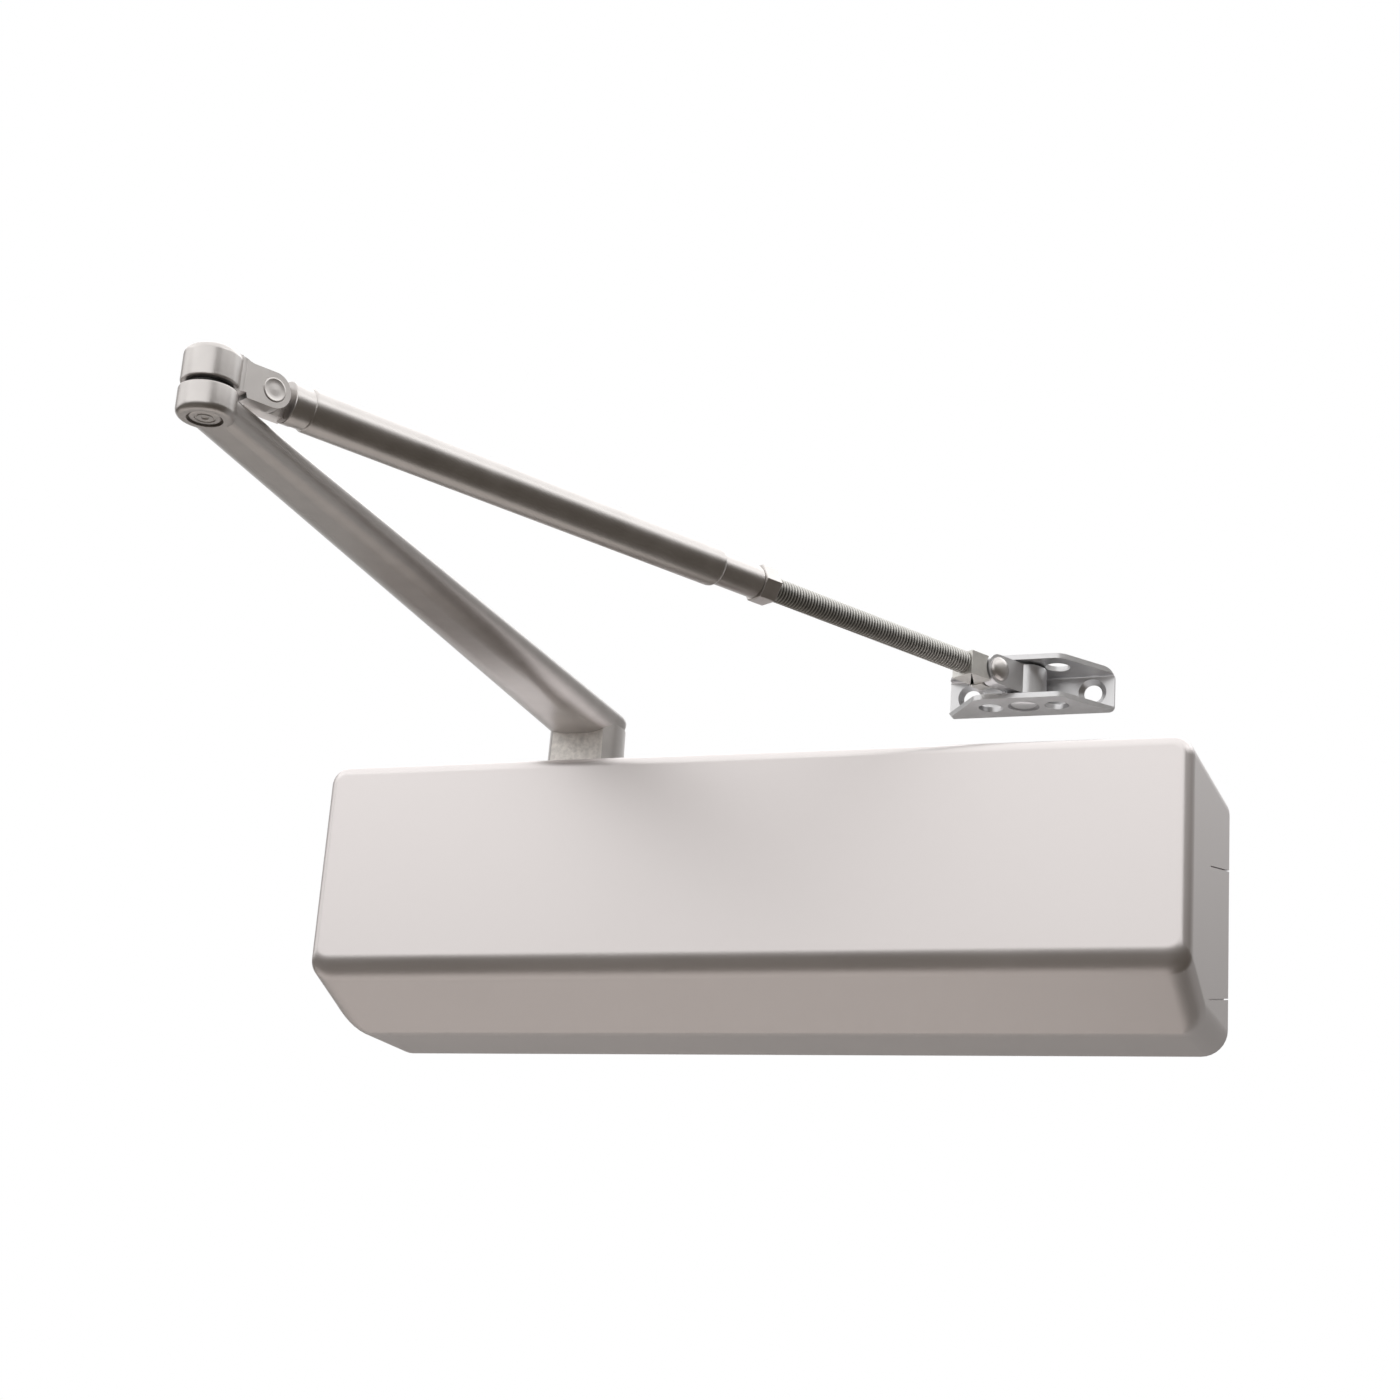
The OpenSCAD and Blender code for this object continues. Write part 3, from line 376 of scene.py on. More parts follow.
SLANT_D = 36.8 * MM
SLANT_H = 15.1 * MM
COVER_WALL = 2.4 * MM
TOP_CORNER_R = 7.0 * MM
BOTTOM_CORNER_R = 9.0 * MM
FACE_EDGE_R = 4.0 * MM
LOW_EDGE_R = 9.5 * MM
SLANT_EDGE_R = 8.5 * MM
SLANT_BACK_REACH = 1.6 * MM
SLOT_W = 22 * MM
SLIT_L = 38 * MM
SLIT_W = 0.4 * MM
SLIT_RISE = math.radians(12.3)
TAB_H = 45 * MM
TAB_Z = -3 * MM
CORNER_STEPS = 8


def near(a, b):
    return abs(a - b) < 0.01 * MM


def facing(polygon, direction):
    return polygon.normal.dot(direction) > 0.999


def round_by_reach(piece, reach_of):
    """Rounds each edge by the reach that reach_of gives for the two faces that meet there."""
    sides = {}
    for face in piece.data.polygons:
        for key in face.edge_keys:
            sides.setdefault(key, []).append(face.normal.copy())
    reaches = {}
    for edge in piece.data.edges:
        reaches[edge.index] = reach_of(*sides[edge.key])
    widest = max(reaches.values())
    weights = piece.data.attributes.new("bevel_weight_edge", "FLOAT", "EDGE")
    for index, reach in reaches.items():
        weights.data[index].value = reach / widest
    modify(
        piece, "BEVEL", width=widest, segments=CORNER_STEPS, limit_method="WEIGHT", use_clamp_overlap=False
    )
    weights = piece.data.attributes.get("bevel_weight_edge")
    if weights:
        piece.data.attributes.remove(weights)


SLANT_NORMAL = Vector((0, -SLANT_H, -SLANT_D)).normalized()
FORWARD = Vector((0, -1, 0))


def slant_reach(a, b):
    """How far the rounding round the sides of the slanted face reaches, by how sharp the edge is."""
    if max(a.dot(FORWARD), b.dot(FORWARD)) > 0.999 or max(a.dot(SLANT_NORMAL), b.dot(SLANT_NORMAL)) < 0.999:
        return 0
    return max(SLANT_EDGE_R * math.tan(a.angle(b) / 2), SLANT_BACK_REACH)


def face_reach(a, b):
    """The same round the front face, where the low edge has a larger radius than the others."""
    if max(a.dot(FORWARD), b.dot(FORWARD)) < 0.999:
        return 0
    turn = a.angle(b)
    lowness = (math.pi / 2 - turn) / (math.pi / 2 - FORWARD.angle(SLANT_NORMAL))
    radius = FACE_EDGE_R + (LOW_EDGE_R - FACE_EDGE_R) * min(max(lowness, 0), 1)
    return radius * math.tan(turn / 2)


def make_cover():
    low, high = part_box("cover")
    top_r, low_r = TOP_CORNER_R, BOTTOM_CORNER_R
    outline = arc(low.x + low_r, low.z + low_r, low_r, 180, 270, CORNER_STEPS)
    outline += arc(high.x - low_r, low.z + low_r, low_r, 270, 360, CORNER_STEPS)
    outline += arc(high.x - top_r, high.z - top_r, top_r, 0, 90, CORNER_STEPS)
    outline += arc(low.x + top_r, high.z - top_r, top_r, 90, 180, CORNER_STEPS)
    cover = prism("silver_cover", outline, -high.y, -low.y)
    place(cover, Matrix.Rotation(math.pi / 2, 4, "X"))
    edit(cover)
    bpy.ops.mesh.select_all(action="SELECT")
    bpy.ops.mesh.bisect(
        plane_co=(0, low.y, low.z + SLANT_H), plane_no=SLANT_NORMAL, use_fill=True, clear_outer=True
    )
    done()
    round_by_reach(cover, slant_reach)
    round_by_reach(cover, face_reach)
    edit(cover)
    bpy.ops.mesh.select_mode(type="FACE")
    bpy.ops.mesh.select_all(action="DESELECT")
    done()
    for face in cover.data.polygons:
        face.select = near(face.center.y, high.y) and face.normal.y > 0.9
    edit(cover)
    bpy.ops.mesh.delete(type="FACE")
    done()
    modify(cover, "SOLIDIFY", thickness=COVER_WALL, offset=-1, use_even_offset=True)

    # The slot for the spindle is open at the back
    slot_outline = arc(SPINDLE.x, SPINDLE.y, SLOT_W / 2, 180, 360, 24)
    slot_outline += [(SPINDLE.x + SLOT_W / 2, high.y + 5 * MM), (SPINDLE.x - SLOT_W / 2, high.y + 5 * MM)]
    cut(cover, prism("slot_cutter", slot_outline, high.z - 3 * COVER_WALL, high.z + COVER_WALL))
    for side in (low.x, high.x):
        for edge_z in (TAB_Z - TAB_H / 2, TAB_Z + TAB_H / 2):
            outward = math.copysign(COVER_WALL, side)
            slit = block(
                "slit_cutter",
                (min(side - outward * 0.6, side + outward), -SLIT_L, -SLIT_W / 2),
                (max(side - outward * 0.6, side + outward), COVER_WALL, SLIT_W / 2),
            )
            turn = Matrix.Rotation(SLIT_RISE, 4, "X")
            place(slit, Matrix.Translation((0, high.y, edge_z)) @ turn)
            cut(cover, slit)
    smooth(cover, 30)
    finished(cover, COVER_PAINT, "cover", "silver_cover", "cover")


make_cover()

# ---------------------------------------------------------------- main arm

ARM_W_HUB = 27.6 * MM
ARM_T_HUB = 9.6 * MM
ARM_W_ELBOW = 15.6 * MM
ARM_T_ELBOW = 6.8 * MM
HUB_FLAT = 9.7 * MM
HUB_R = 14.0 * MM
EYE_R = 8.3 * MM
EYE_RECESS_R = 5.1 * MM
EYE_RECESS = 1.4 * MM
RIVET_R = 4.0 * MM
SQUARE_W = 11.4 * MM


def make_main_arm():
    low, high = box_in("main_arm", ARM)
    elbow_x = high.x - EYE_R
    eye_low, eye_high = box_in("elbow_washer", ARM)
    eye_top = eye_low.z
    arm_z = high.z - 0.6 * MM - ARM_T_HUB / 2
    eye_bottom = arm_z - ARM_T_ELBOW / 2

    def half(x):
        """Half thickness and half width of the bar at a distance from the spindle."""
        k = x / elbow_x
        thick = ARM_T_HUB + (ARM_T_ELBOW - ARM_T_HUB) * k
        wide = ARM_W_HUB + (ARM_W_ELBOW - ARM_W_HUB) * k
        return x, thick / 2, wide / 2

    # The bar's section: wide roundings below, tight ones above
    section = arc(-0.3, 0, 1, 180, 270, 12, 0.7)
    section += arc(0.25, 0.6, 1.6, 270, 360, 14, 0.75 / 1.6)
    section += arc(0.84, 0.6, 0.4, 0, 90, 6, 0.4)
    section += arc(-0.84, 0.55, 0.45, 90, 180, 6, 0.16 / 0.45)
    arm = pulled("main_arm_bar", section, [half(x) for x in (0, 30 * MM, 120 * MM, 210 * MM, elbow_x - 2 * MM)])
    place(arm, Matrix.Translation((0, 0, arm_z)) @ LAY_X)

    # The hub hangs from the bar's round end, with a cast flat across its front
    hub = turned(
        "hub",
        [(low.z, HUB_R - 0.6 * MM), (low.z + 0.2 * MM, HUB_R - 0.2 * MM), (low.z + 0.7 * MM, HUB_R),
         (arm_z - 0.5 * MM, HUB_R - 0.2 * MM)],
        96,
    )
    flat = block("flat_cutter", (HUB_FLAT, -2 * HUB_R, low.z - MM), (2 * HUB_R, 2 * HUB_R, arm_z + MM))
    cut(hub, flat)
    end_r = ARM_W_HUB / 2
    bar_end = turned(
        "bar_end",
        [(arm_z + ARM_T_HUB / 2 * z, end_r * r) for r, z in arc(0.25, 0.6, 1.59, 270, 360, 14, 0.75 / 1.59)]
        + [
            (high.z - 1.7 * MM, end_r - 0.3 * MM), (high.z - 0.95 * MM, end_r - 1.1 * MM),
            (high.z - 0.65 * MM, end_r - 2.2 * MM), (high.z, end_r - 3.4 * MM),
        ],
        96,
    )
    eye = turned(
        "eye",
        [(eye_bottom, EYE_R - 2.0 * MM), (eye_bottom + 0.15 * MM, EYE_R - 1.2 * MM),
         (eye_bottom + 0.6 * MM, EYE_R - 0.55 * MM), (eye_bottom + 1.2 * MM, EYE_R - 0.15 * MM),
         (eye_bottom + 2.0 * MM, EYE_R), (eye_top - 0.6 * MM, EYE_R), (eye_top - 0.2 * MM, EYE_R - 0.2 * MM),
         (eye_top, EYE_R - 0.6 * MM)],
        96,
    )
    place(eye, Matrix.Translation((elbow_x, 0, 0)))
    fuse(arm, hub, bar_end, eye)
    recess = turned(
        "recess_cutter", [(eye_bottom - MM, EYE_RECESS_R), (eye_bottom + EYE_RECESS, EYE_RECESS_R)], 64
    )
    bore = turned("bore_cutter", [(eye_bottom, RIVET_R), (eye_top + MM, RIVET_R)], 64)
    place(recess, Matrix.Translation((elbow_x, 0, 0)))
    place(bore, Matrix.Translation((elbow_x, 0, 0)))
    half_square = SQUARE_W / 2
    socket = block(
        "socket_cutter", (-half_square, -half_square, low.z - MM), (half_square, half_square, high.z + MM)
    )
    cut(arm, recess, bore, socket)
    soften(arm, 0.35 * MM, 50)
    place(arm, ARM)
    smooth(arm, 40)
    finished(arm, ARM_PAINT, "spindle", "silver_paint", "main_arm")

    # The front of the hub is left as it was cast, and its paint is lighter than the arm's as painted light on that
    # face.
    arm.data.materials.append(ROUGH_CAST_AND_PAINTED_LIGHT)
    front = (ARM.to_3x3() @ Vector((1, 0, 0))).normalized()
    for face in arm.data.polygons:
        from_hub = face.center - SPINDLE
        if face.normal.dot(front) > 0.99 and from_hub.xy.length < 2 * HUB_R and face.center.z < arm_z:
            face.material_index = 1


make_main_arm()


def make_arm_screw():
    low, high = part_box("arm_screw")
    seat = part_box("arm_washer")[1].z
    head_r = (high.x - low.x) / 2
    screw = turned(
        "arm_screw_turned",
        [
            (low.z, 2.3 * MM), (low.z + 0.8 * MM, 2.95 * MM), (seat, 2.95 * MM), (seat, head_r - 0.2 * MM),
            (seat + 0.2 * MM, head_r), (seat + 0.7 * MM, head_r), (seat + 1.5 * MM, head_r - 0.7 * MM),
            (seat + 2.1 * MM, head_r - 1.6 * MM), (high.z - 0.5 * MM, head_r - 2.6 * MM),
        ],
        64,
    )
    place(screw, Matrix.Translation((SPINDLE.x, SPINDLE.y, 0)))
    socket = turned("socket_cutter", [(high.z - 2.1 * MM, 2.3 * MM), (high.z + MM, 2.9 * MM)], 6)
    place(socket, Matrix.Translation((SPINDLE.x, SPINDLE.y, 0)))
    cut(screw, socket)
    smooth(screw, 35)
    finished(screw, TURNED_STEEL, "spindle", "clip_steel", "arm_screw")


def make_arm_washer():
    low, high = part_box("arm_washer")
    outer = (high.x - low.x) / 2 - 1.2 * MM
    washer = turned(
        "arm_washer_pressed",
        [
            (low.z, outer - 0.3 * MM), (low.z + 0.25 * MM, outer), (high.z - 0.5 * MM, outer),
            (high.z - 0.1 * MM, outer - 0.35 * MM), (high.z, outer - 0.8 * MM), (high.z, 3.6 * MM),
            (high.z - 0.2 * MM, 3.35 * MM), (low.z, 3.35 * MM), (low.z, outer - 0.3 * MM),
        ],
        64, bored=True,
    )
    place(washer, Matrix.Translation((SPINDLE.x, SPINDLE.y, 0)))
    smooth(washer, 35)
    finished(washer, ZINC, "spindle", "clip_steel", "arm_washer")


make_arm_screw()
make_arm_washer()

# ---------------------------------------------------------------- elbow

LAP_PLAY = 0.2 * MM
LAP_T = 4.6 * MM


def make_elbow_rivet():
    low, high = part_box("elbow_rivet")
    knuckle_low, knuckle_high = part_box("elbow_knuckle")
    head_r = 4.5 * MM
    top = knuckle_high.z + 0.1 * MM
    rivet = turned(
        "elbow_rivet_turned",
        [
            (low.z + 0.6 * MM, 0.4 * MM), (low.z + 0.35 * MM, 0.8 * MM), (low.z + 0.05 * MM, 1.1 * MM),
            (low.z, 2.3 * MM), (low.z + 0.25 * MM, 2.45 * MM), (low.z + 0.25 * MM, 2.8 * MM),
            (low.z, 2.95 * MM), (low.z, head_r - 0.5 * MM), (low.z + 0.15 * MM, head_r - 0.15 * MM), (low.z + 0.5 * MM, head_r),
            (low.z + 1.1 * MM, head_r), (low.z + 1.1 * MM, RIVET_R - 0.05 * MM), (top, RIVET_R - 0.05 * MM),
            (top, head_r + 1.2 * MM), (top + 0.1 * MM, head_r + 1.1 * MM), (top + 0.35 * MM, head_r - 0.3 * MM),
            (top + 0.5 * MM, head_r - 2.3 * MM), (high.z, 0.6 * MM),
        ],
    )
    place(rivet, ELBOW_UP)
    smooth(rivet, 35)
    finished(rivet, ARM_PAINT, "spindle", "silver_paint", "elbow_rivet")


def lap_plate(name, start, end, half_h, side, sides=48):
    """A plate beside the arm's line, from a square end to a round one, in the forearm's frame."""
    y0 = LAP_PLAY if side > 0 else -LAP_PLAY - LAP_T
    if start < end:
        outline = [(start, -half_h)] + arc(end, 0, half_h, -90, 90, sides) + [(start, half_h)]
    else:
        outline = [(start, half_h)] + arc(end, 0, half_h, 90, 270, sides) + [(start, -half_h)]
    plate = prism(name, outline, 0, LAP_T)
    # The outline's second direction becomes height, and its thickness runs along Y
    return place(plate, Matrix.Translation((0, y0 + LAP_T, 0)) @ Matrix.Rotation(math.pi / 2, 4, "X"))


def make_elbow_knuckle():
    low, high = box_in("elbow_knuckle", FOREARM)
    low.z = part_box("elbow_washer")[1].z + 0.15 * MM - FOREARM.translation.z
    tilt = (ELBOW_TILT - FOREARM.translation).length
    head_r = -low.x
    top_r = 2.2 * MM
    head = turned(
        "knuckle",
        [(low.z, head_r - 0.7 * MM), (low.z + 0.2 * MM, head_r - 0.2 * MM), (low.z + 0.7 * MM, head_r)]
        + [
            (high.z - top_r + top_r * math.sin(math.radians(a)), head_r - top_r + top_r * math.cos(math.radians(a)))
            for a in (0, 15, 30, 45, 60, 75, 90)
        ],
        96,
    )
    # Seen from above, a hollow runs from the round head to a ridge, where the plate's face starts
    ridge_s = 8.2 * MM
    hollow_r = 1.4 * MM
    face_y = -LAP_PLAY - LAP_T
    ridge = Vector((ridge_s, face_y))
    reach = head_r + hollow_r
    spread = math.acos((reach**2 + ridge.length**2 - hollow_r**2) / (2 * reach * ridge.length))
    toward = math.atan2(ridge.y, ridge.x) - spread
    centre = Vector((reach * math.cos(toward), reach * math.sin(toward)))
    to_head = math.degrees(math.atan2(-centre.y, -centre.x))
    to_ridge = math.degrees(math.atan2(ridge.y - centre.y, ridge.x - centre.x))
    outline = [(0, -LAP_PLAY), (0, face_y)]
    outline += arc(centre.x, centre.y, hollow_r, to_head, to_ridge, 16)
    outline += [(high.x, face_y), (high.x, -LAP_PLAY)]
    plate_r = high.x - tilt
    tongue = prism("tongue", outline, -plate_r, high.z)
    # Seen from the side, the head's top runs down to the plate in a hollow, and the plate ends round
    side_view = [(-MM, low.z), (EYE_R + 0.5 * MM, low.z), (EYE_R + 0.9 * MM, -plate_r)]
    side_view += arc(tilt, 0, plate_r, -90, 90, 40)
    side_view += [(ridge_s + 2.2 * MM, plate_r), (ridge_s + 0.8 * MM, plate_r + 0.25 * MM)]
    side_view += [(head_r - 0.6 * MM, high.z - 0.3 * MM), (-MM, high.z)]
    keeper = prism("keeper", side_view, -10 * MM, 10 * MM)
    place(keeper, Matrix.Rotation(math.pi / 2, 4, "X"))
    trim(tongue, keeper)
    fuse(head, tongue)
    bore = turned("bore_cutter", [(low.z - MM, RIVET_R), (high.z + MM, RIVET_R)], 64)
    cut(head, bore)
    soften(head, 0.4 * MM, 35)
    place(head, FOREARM)
    smooth(head, 40)
    finished(head, ARM_PAINT, "knuckle", "silver_paint", "elbow_knuckle")


def make_tilt_rivet(name, where, body, node, head_rings):
    """A rivet across the lapped plates, with its formed head to the front."""
    outer = LAP_PLAY + LAP_T
    rings = [(-outer - h, r) for h, r in reversed(head_rings)]
    rings += [(-outer, 2.5 * MM), (outer, 2.5 * MM), (outer, 3.9 * MM), (outer + 1.0 * MM, 3.7 * MM)]
    rings += [(outer + 1.4 * MM, 2.4 * MM), (outer + 1.5 * MM, 0.5 * MM)]
    rivet = turned(name, rings, 48)
    place(rivet, where @ LAY_Y)
    smooth(rivet, 35)
    finished(rivet, ARM_PAINT, body, "silver_paint", node)


make_elbow_rivet()
make_elbow_knuckle()
FLUSH_HEAD = [
    (0, 3.6 * MM), (0.12 * MM, 3.55 * MM), (0.2 * MM, 3.4 * MM), (0.2 * MM, 3.1 * MM), (0.12 * MM, 2.8 * MM),
    (0.12 * MM, 1.6 * MM), (0.2 * MM, 0.4 * MM),
]
DOMED_HEAD = [
    (0, 4.1 * MM), (0.4 * MM, 4.15 * MM), (0.9 * MM, 3.8 * MM), (1.3 * MM, 3.0 * MM), (1.55 * MM, 1.9 * MM),
    (1.65 * MM, 0.5 * MM),
]
make_tilt_rivet(
    "elbow_tilt_rivet_turned", FOREARM @ Matrix.Translation(((ELBOW_TILT - FOREARM.translation).length, 0, 0)),
    "knuckle", "elbow_tilt_rivet", FLUSH_HEAD,
)
make_tilt_rivet(
    "shoe_tilt_rivet_turned", FOREARM @ Matrix.Translation(((SHOE_TILT - FOREARM.translation).length, 0, 0)),
    "shoe_knuckle", "shoe_tilt_rivet", DOMED_HEAD,
)

# ---------------------------------------------------------------- forearm


TUBE_LEAD = 3.8 * MM


def make_forearm_fitting():
    low, high = box_in("forearm_fitting", FOREARM)
    tube_low, tube_high = box_in("forearm_tube", FOREARM)
    tilt = (ELBOW_TILT - FOREARM.translation).length
    half_h = tilt - low.x
    step = 23.9 * MM
    radius = 6.2 * MM
    start = tube_low.x - TUBE_LEAD
    fitting = turned(
        "fitting",
        [(step, radius - 0.2 * MM), (step + 0.2 * MM, radius), (step + 3 * MM, radius),
         (start - 2.5 * MM, radius - 0.2 * MM), (start + MM, radius - 0.2 * MM), (start + MM, 4.6 * MM),
         (high.x, 4.6 * MM)],
    )
    place(fitting, LAY_X)
    fuse(fitting, lap_plate("tab", step + MM, tilt, half_h, 1))
    soften(fitting, 0.35 * MM, 40)
    place(fitting, FOREARM)
    smooth(fitting, 40)
    finished(fitting, ARM_PAINT, "forearm", "silver_paint", "forearm_fitting")


def make_forearm_tube():
    low, high = box_in("forearm_tube", FOREARM)
    start, end = low.x - TUBE_LEAD, high.x
    radius = high.z
    neck_r = 5.3 * MM
    step = low.x + 150 * MM
    bore_r = 4.7 * MM
    thread_r = 4.05 * MM
    tube = turned(
        "tube",
        [
            (start, bore_r), (start, radius - 0.9 * MM), (start + 0.25 * MM, radius - 0.35 * MM),
            (start + 0.9 * MM, radius), (step - 1.4 * MM, radius), (step - 0.7 * MM, radius - 0.15 * MM),
            (step - 0.2 * MM, radius - 0.5 * MM), (step, neck_r + 0.12 * MM), (step + 0.3 * MM, neck_r),
            (end - 0.4 * MM, neck_r), (end, neck_r - 0.4 * MM), (end, thread_r),
            (step - 6 * MM, thread_r), (step - 7 * MM, bore_r), (start, bore_r),
        ],
        72, bored=True,
    )
    place(tube, FOREARM @ LAY_X)
    smooth(tube, 35)
    finished(tube, ARM_PAINT, "forearm", "silver_paint", "forearm_tube")


def make_jam_nut():
    low, high = box_in("jam_nut", FOREARM)
    corner = 11 * MM / math.cos(math.pi / 6) / 2
    nut = turned("nut", [(low.x, corner), (high.x, corner)], 6)
    place(nut, LAY_X @ Matrix.Rotation(math.radians(NUT_TURN), 4, "Z"))
    bore = turned("bore_cutter", [(low.x - MM, 4.05 * MM), (high.x + MM, 4.05 * MM)], 48)
    place(bore, LAY_X)
    cut(nut, bore)
    soften(nut, 0.3 * MM, 35)
    place(nut, FOREARM)
    smooth(nut, 35)
    finished(nut, ARM_PAINT, "jam_nut", "silver_paint", "jam_nut")


PITCH = 1.25 * MM
NUT_TURN = 0


def painted_root_shade(material, root_r, crest_r):
    """Darkens a finish by its distance from the rod's axis, as painted shade in the thread's roots."""
    nodes, links = material.node_tree.nodes, material.node_tree.links
    shader = nodes["Principled BSDF"]
    where = nodes.new("ShaderNodeTexCoord")
    from_axis = nodes.new("ShaderNodeVectorMath")
    from_axis.operation = "SUBTRACT"
    from_axis.inputs[1].default_value = FOREARM.translation
    links.new(where.outputs["Object"], from_axis.inputs[0])
    across = nodes.new("ShaderNodeVectorMath")
    across.operation = "CROSS_PRODUCT"
    across.inputs[1].default_value = FOREARM.to_3x3() @ Vector((1, 0, 0))
    links.new(from_axis.outputs["Vector"], across.inputs[0])
    radius = nodes.new("ShaderNodeVectorMath")
    radius.operation = "LENGTH"
    links.new(across.outputs["Vector"], radius.inputs[0])
    height = nodes.new("ShaderNodeMapRange")
    height.inputs["From Min"].default_value = root_r
    height.inputs["From Max"].default_value = crest_r
    height.inputs["To Min"].default_value = 0.06
    height.inputs["To Max"].default_value = 1.0
    links.new(radius.outputs["Value"], height.inputs["Value"])
    shade = nodes.new("ShaderNodeVectorMath")
    shade.operation = "SCALE"
    colour = shader.inputs["Base Color"].links[0].from_socket
    links.new(colour, shade.inputs[0])
    links.new(height.outputs["Result"], shade.inputs["Scale"])
    links.new(shade.outputs["Vector"], shader.inputs["Base Color"])
    return material


def make_threaded_rod():
    low, high = box_in("threaded_rod", FOREARM)
    tilt = (SHOE_TILT - FOREARM.translation).length
    eye_r = high.x - tilt
    block_start = tilt - 13.2 * MM
    thread_end = block_start + 0.4 * MM
    turns = int((thread_end - low.x) / PITCH)
    root_r, crest_r = 3.2 * MM, 3.97 * MM

    # One thread's flank, swept round the rod's axis turn by turn
    flank = [(0, root_r), (0.12 * PITCH, root_r), (0.45 * PITCH, crest_r), (0.58 * PITCH, crest_r), (0.9 * PITCH, root_r)]
    draw_line([(r, 0, z) for z, r in flank + [(PITCH, root_r)]])
    done()
    thread = named("thread")
    modify(
        thread, "SCREW", axis="Z", angle=2 * math.pi, screw_offset=PITCH, iterations=turns,
        steps=24, render_steps=24, use_merge_vertices=True, merge_threshold=0.002 * MM,
    )
    edit(thread)
    bpy.ops.mesh.select_all(action="SELECT")
    bpy.ops.mesh.remove_doubles(threshold=0.002 * MM)
    bpy.ops.mesh.fill_holes(sides=0)
    bpy.ops.mesh.select_all(action="SELECT")
    bpy.ops.mesh.normals_make_consistent(inside=False)
    done()
    place(thread, Matrix.Translation((thread_end - (turns + 1) * PITCH, 0, 0)) @ LAY_X)

    shank = block(
        "shank",
        (block_start, -4.3 * MM, 0.6 * MM - eye_r),
        (tilt - 2 * MM, LAP_PLAY + LAP_T, eye_r - 1.9 * MM),
    )
    # The knuckle's plate swings in the shank's near half
    swing = turned("swing_cutter", [(-10 * MM, 5.9 * MM), (LAP_PLAY, 5.9 * MM)])
    place(swing, Matrix.Translation((tilt, 0, 0)) @ LAY_Y)
    cut(shank, swing)
    fuse(shank, lap_plate("eye_plate", tilt - 4 * MM, tilt, eye_r, 1))
    soften(shank, 0.35 * MM, 40)
    only(thread, shank)
    bpy.ops.object.join()
    rod = named("adjusting_rod")
    place(rod, FOREARM)
    smooth(rod, 35)
    # The thread's roots get painted shade, darker towards the rod's axis.
    finished(rod, painted_root_shade(THREAD_PAINT, root_r, crest_r), "rod", "silver_paint", "threaded_rod")


make_forearm_fitting()
make_forearm_tube()
make_jam_nut()
make_threaded_rod()

# ---------------------------------------------------------------- shoe

SHOE_T = 1.8 * MM
FLANGE_EDGE = 30 * MM
FLANGE_HOLES = 23.5 * MM
FLANGE_HOLE_R = 4.3 * MM
BACK_HOLES = 43.5 * MM
BACK_HOLE_R = 3.2 * MM
BACK_SINK_R = 5.4 * MM
PIN_HOLE_R = 5.5 * MM
PIN_END_R = 4.5 * MM
PLATE_CORNER_R = 2.8 * MM
SIDE_D = 3.5 * MM
BEND_R = 2.8 * MM


def make_shoe_knuckle():
    low, high = box_in("shoe_knuckle", SHOE)
    tilt = (SHOE_TILT - FOREARM.translation).length
    pivot = (SHOE_PIVOT - FOREARM.translation).length
    barrel_r = 7.7 * MM
    barrel = turned("barrel", [(low.z, barrel_r), (high.z, barrel_r)], 72)
    round_edges(barrel, lambda a, b: near(a.z, b.z), 0.5 * MM, 3)
    place(barrel, Matrix.Translation((pivot, 0, 0)))
    fuse(barrel, lap_plate("shoe_tongue", pivot, tilt, 5.3 * MM, -1))
    bore = turned("bore_cutter", [(low.z - MM, RIVET_R), (high.z + MM, RIVET_R)], 48)
    place(bore, Matrix.Translation((pivot, 0, 0)))
    cut(barrel, bore)
    soften(barrel, 0.4 * MM, 50)
    place(barrel, FOREARM)
    smooth(barrel, 40)
    knuckle = barrel
    knuckle.name = "shoe_barrel"
    finished(knuckle, SHOE_PAINT, "shoe_knuckle", "silver_paint", "shoe_knuckle")


def make_shoe_pin():
    low, high = box_in("shoe_pin", SHOE)
    half = high.z
    inner = half - SHOE_T
    # The pin is spread over in a sunk seat in each flange
    seat = 1.4 * MM
    head = [(0.15 * MM, 0.4 * MM), (0.2 * MM, 2.6 * MM), (0.4 * MM, PIN_END_R - 0.5 * MM), (0.7 * MM, PIN_END_R)]
    head += [(seat, PIN_END_R), (seat, PIN_HOLE_R)]
    rings = [(-half + h, r) for h, r in head] + [(-inner, PIN_HOLE_R), (-inner, RIVET_R - 0.05 * MM)]
    rings += [(inner, RIVET_R - 0.05 * MM), (inner, PIN_HOLE_R)] + [(half - h, r) for h, r in reversed(head)]
    pin = turned("shoe_pin_turned", rings, 48)
    place(pin, SHOE)
    smooth(pin, 35)
    finished(pin, SHOE_PAINT, "shoe", "silver_paint", "shoe_pin")


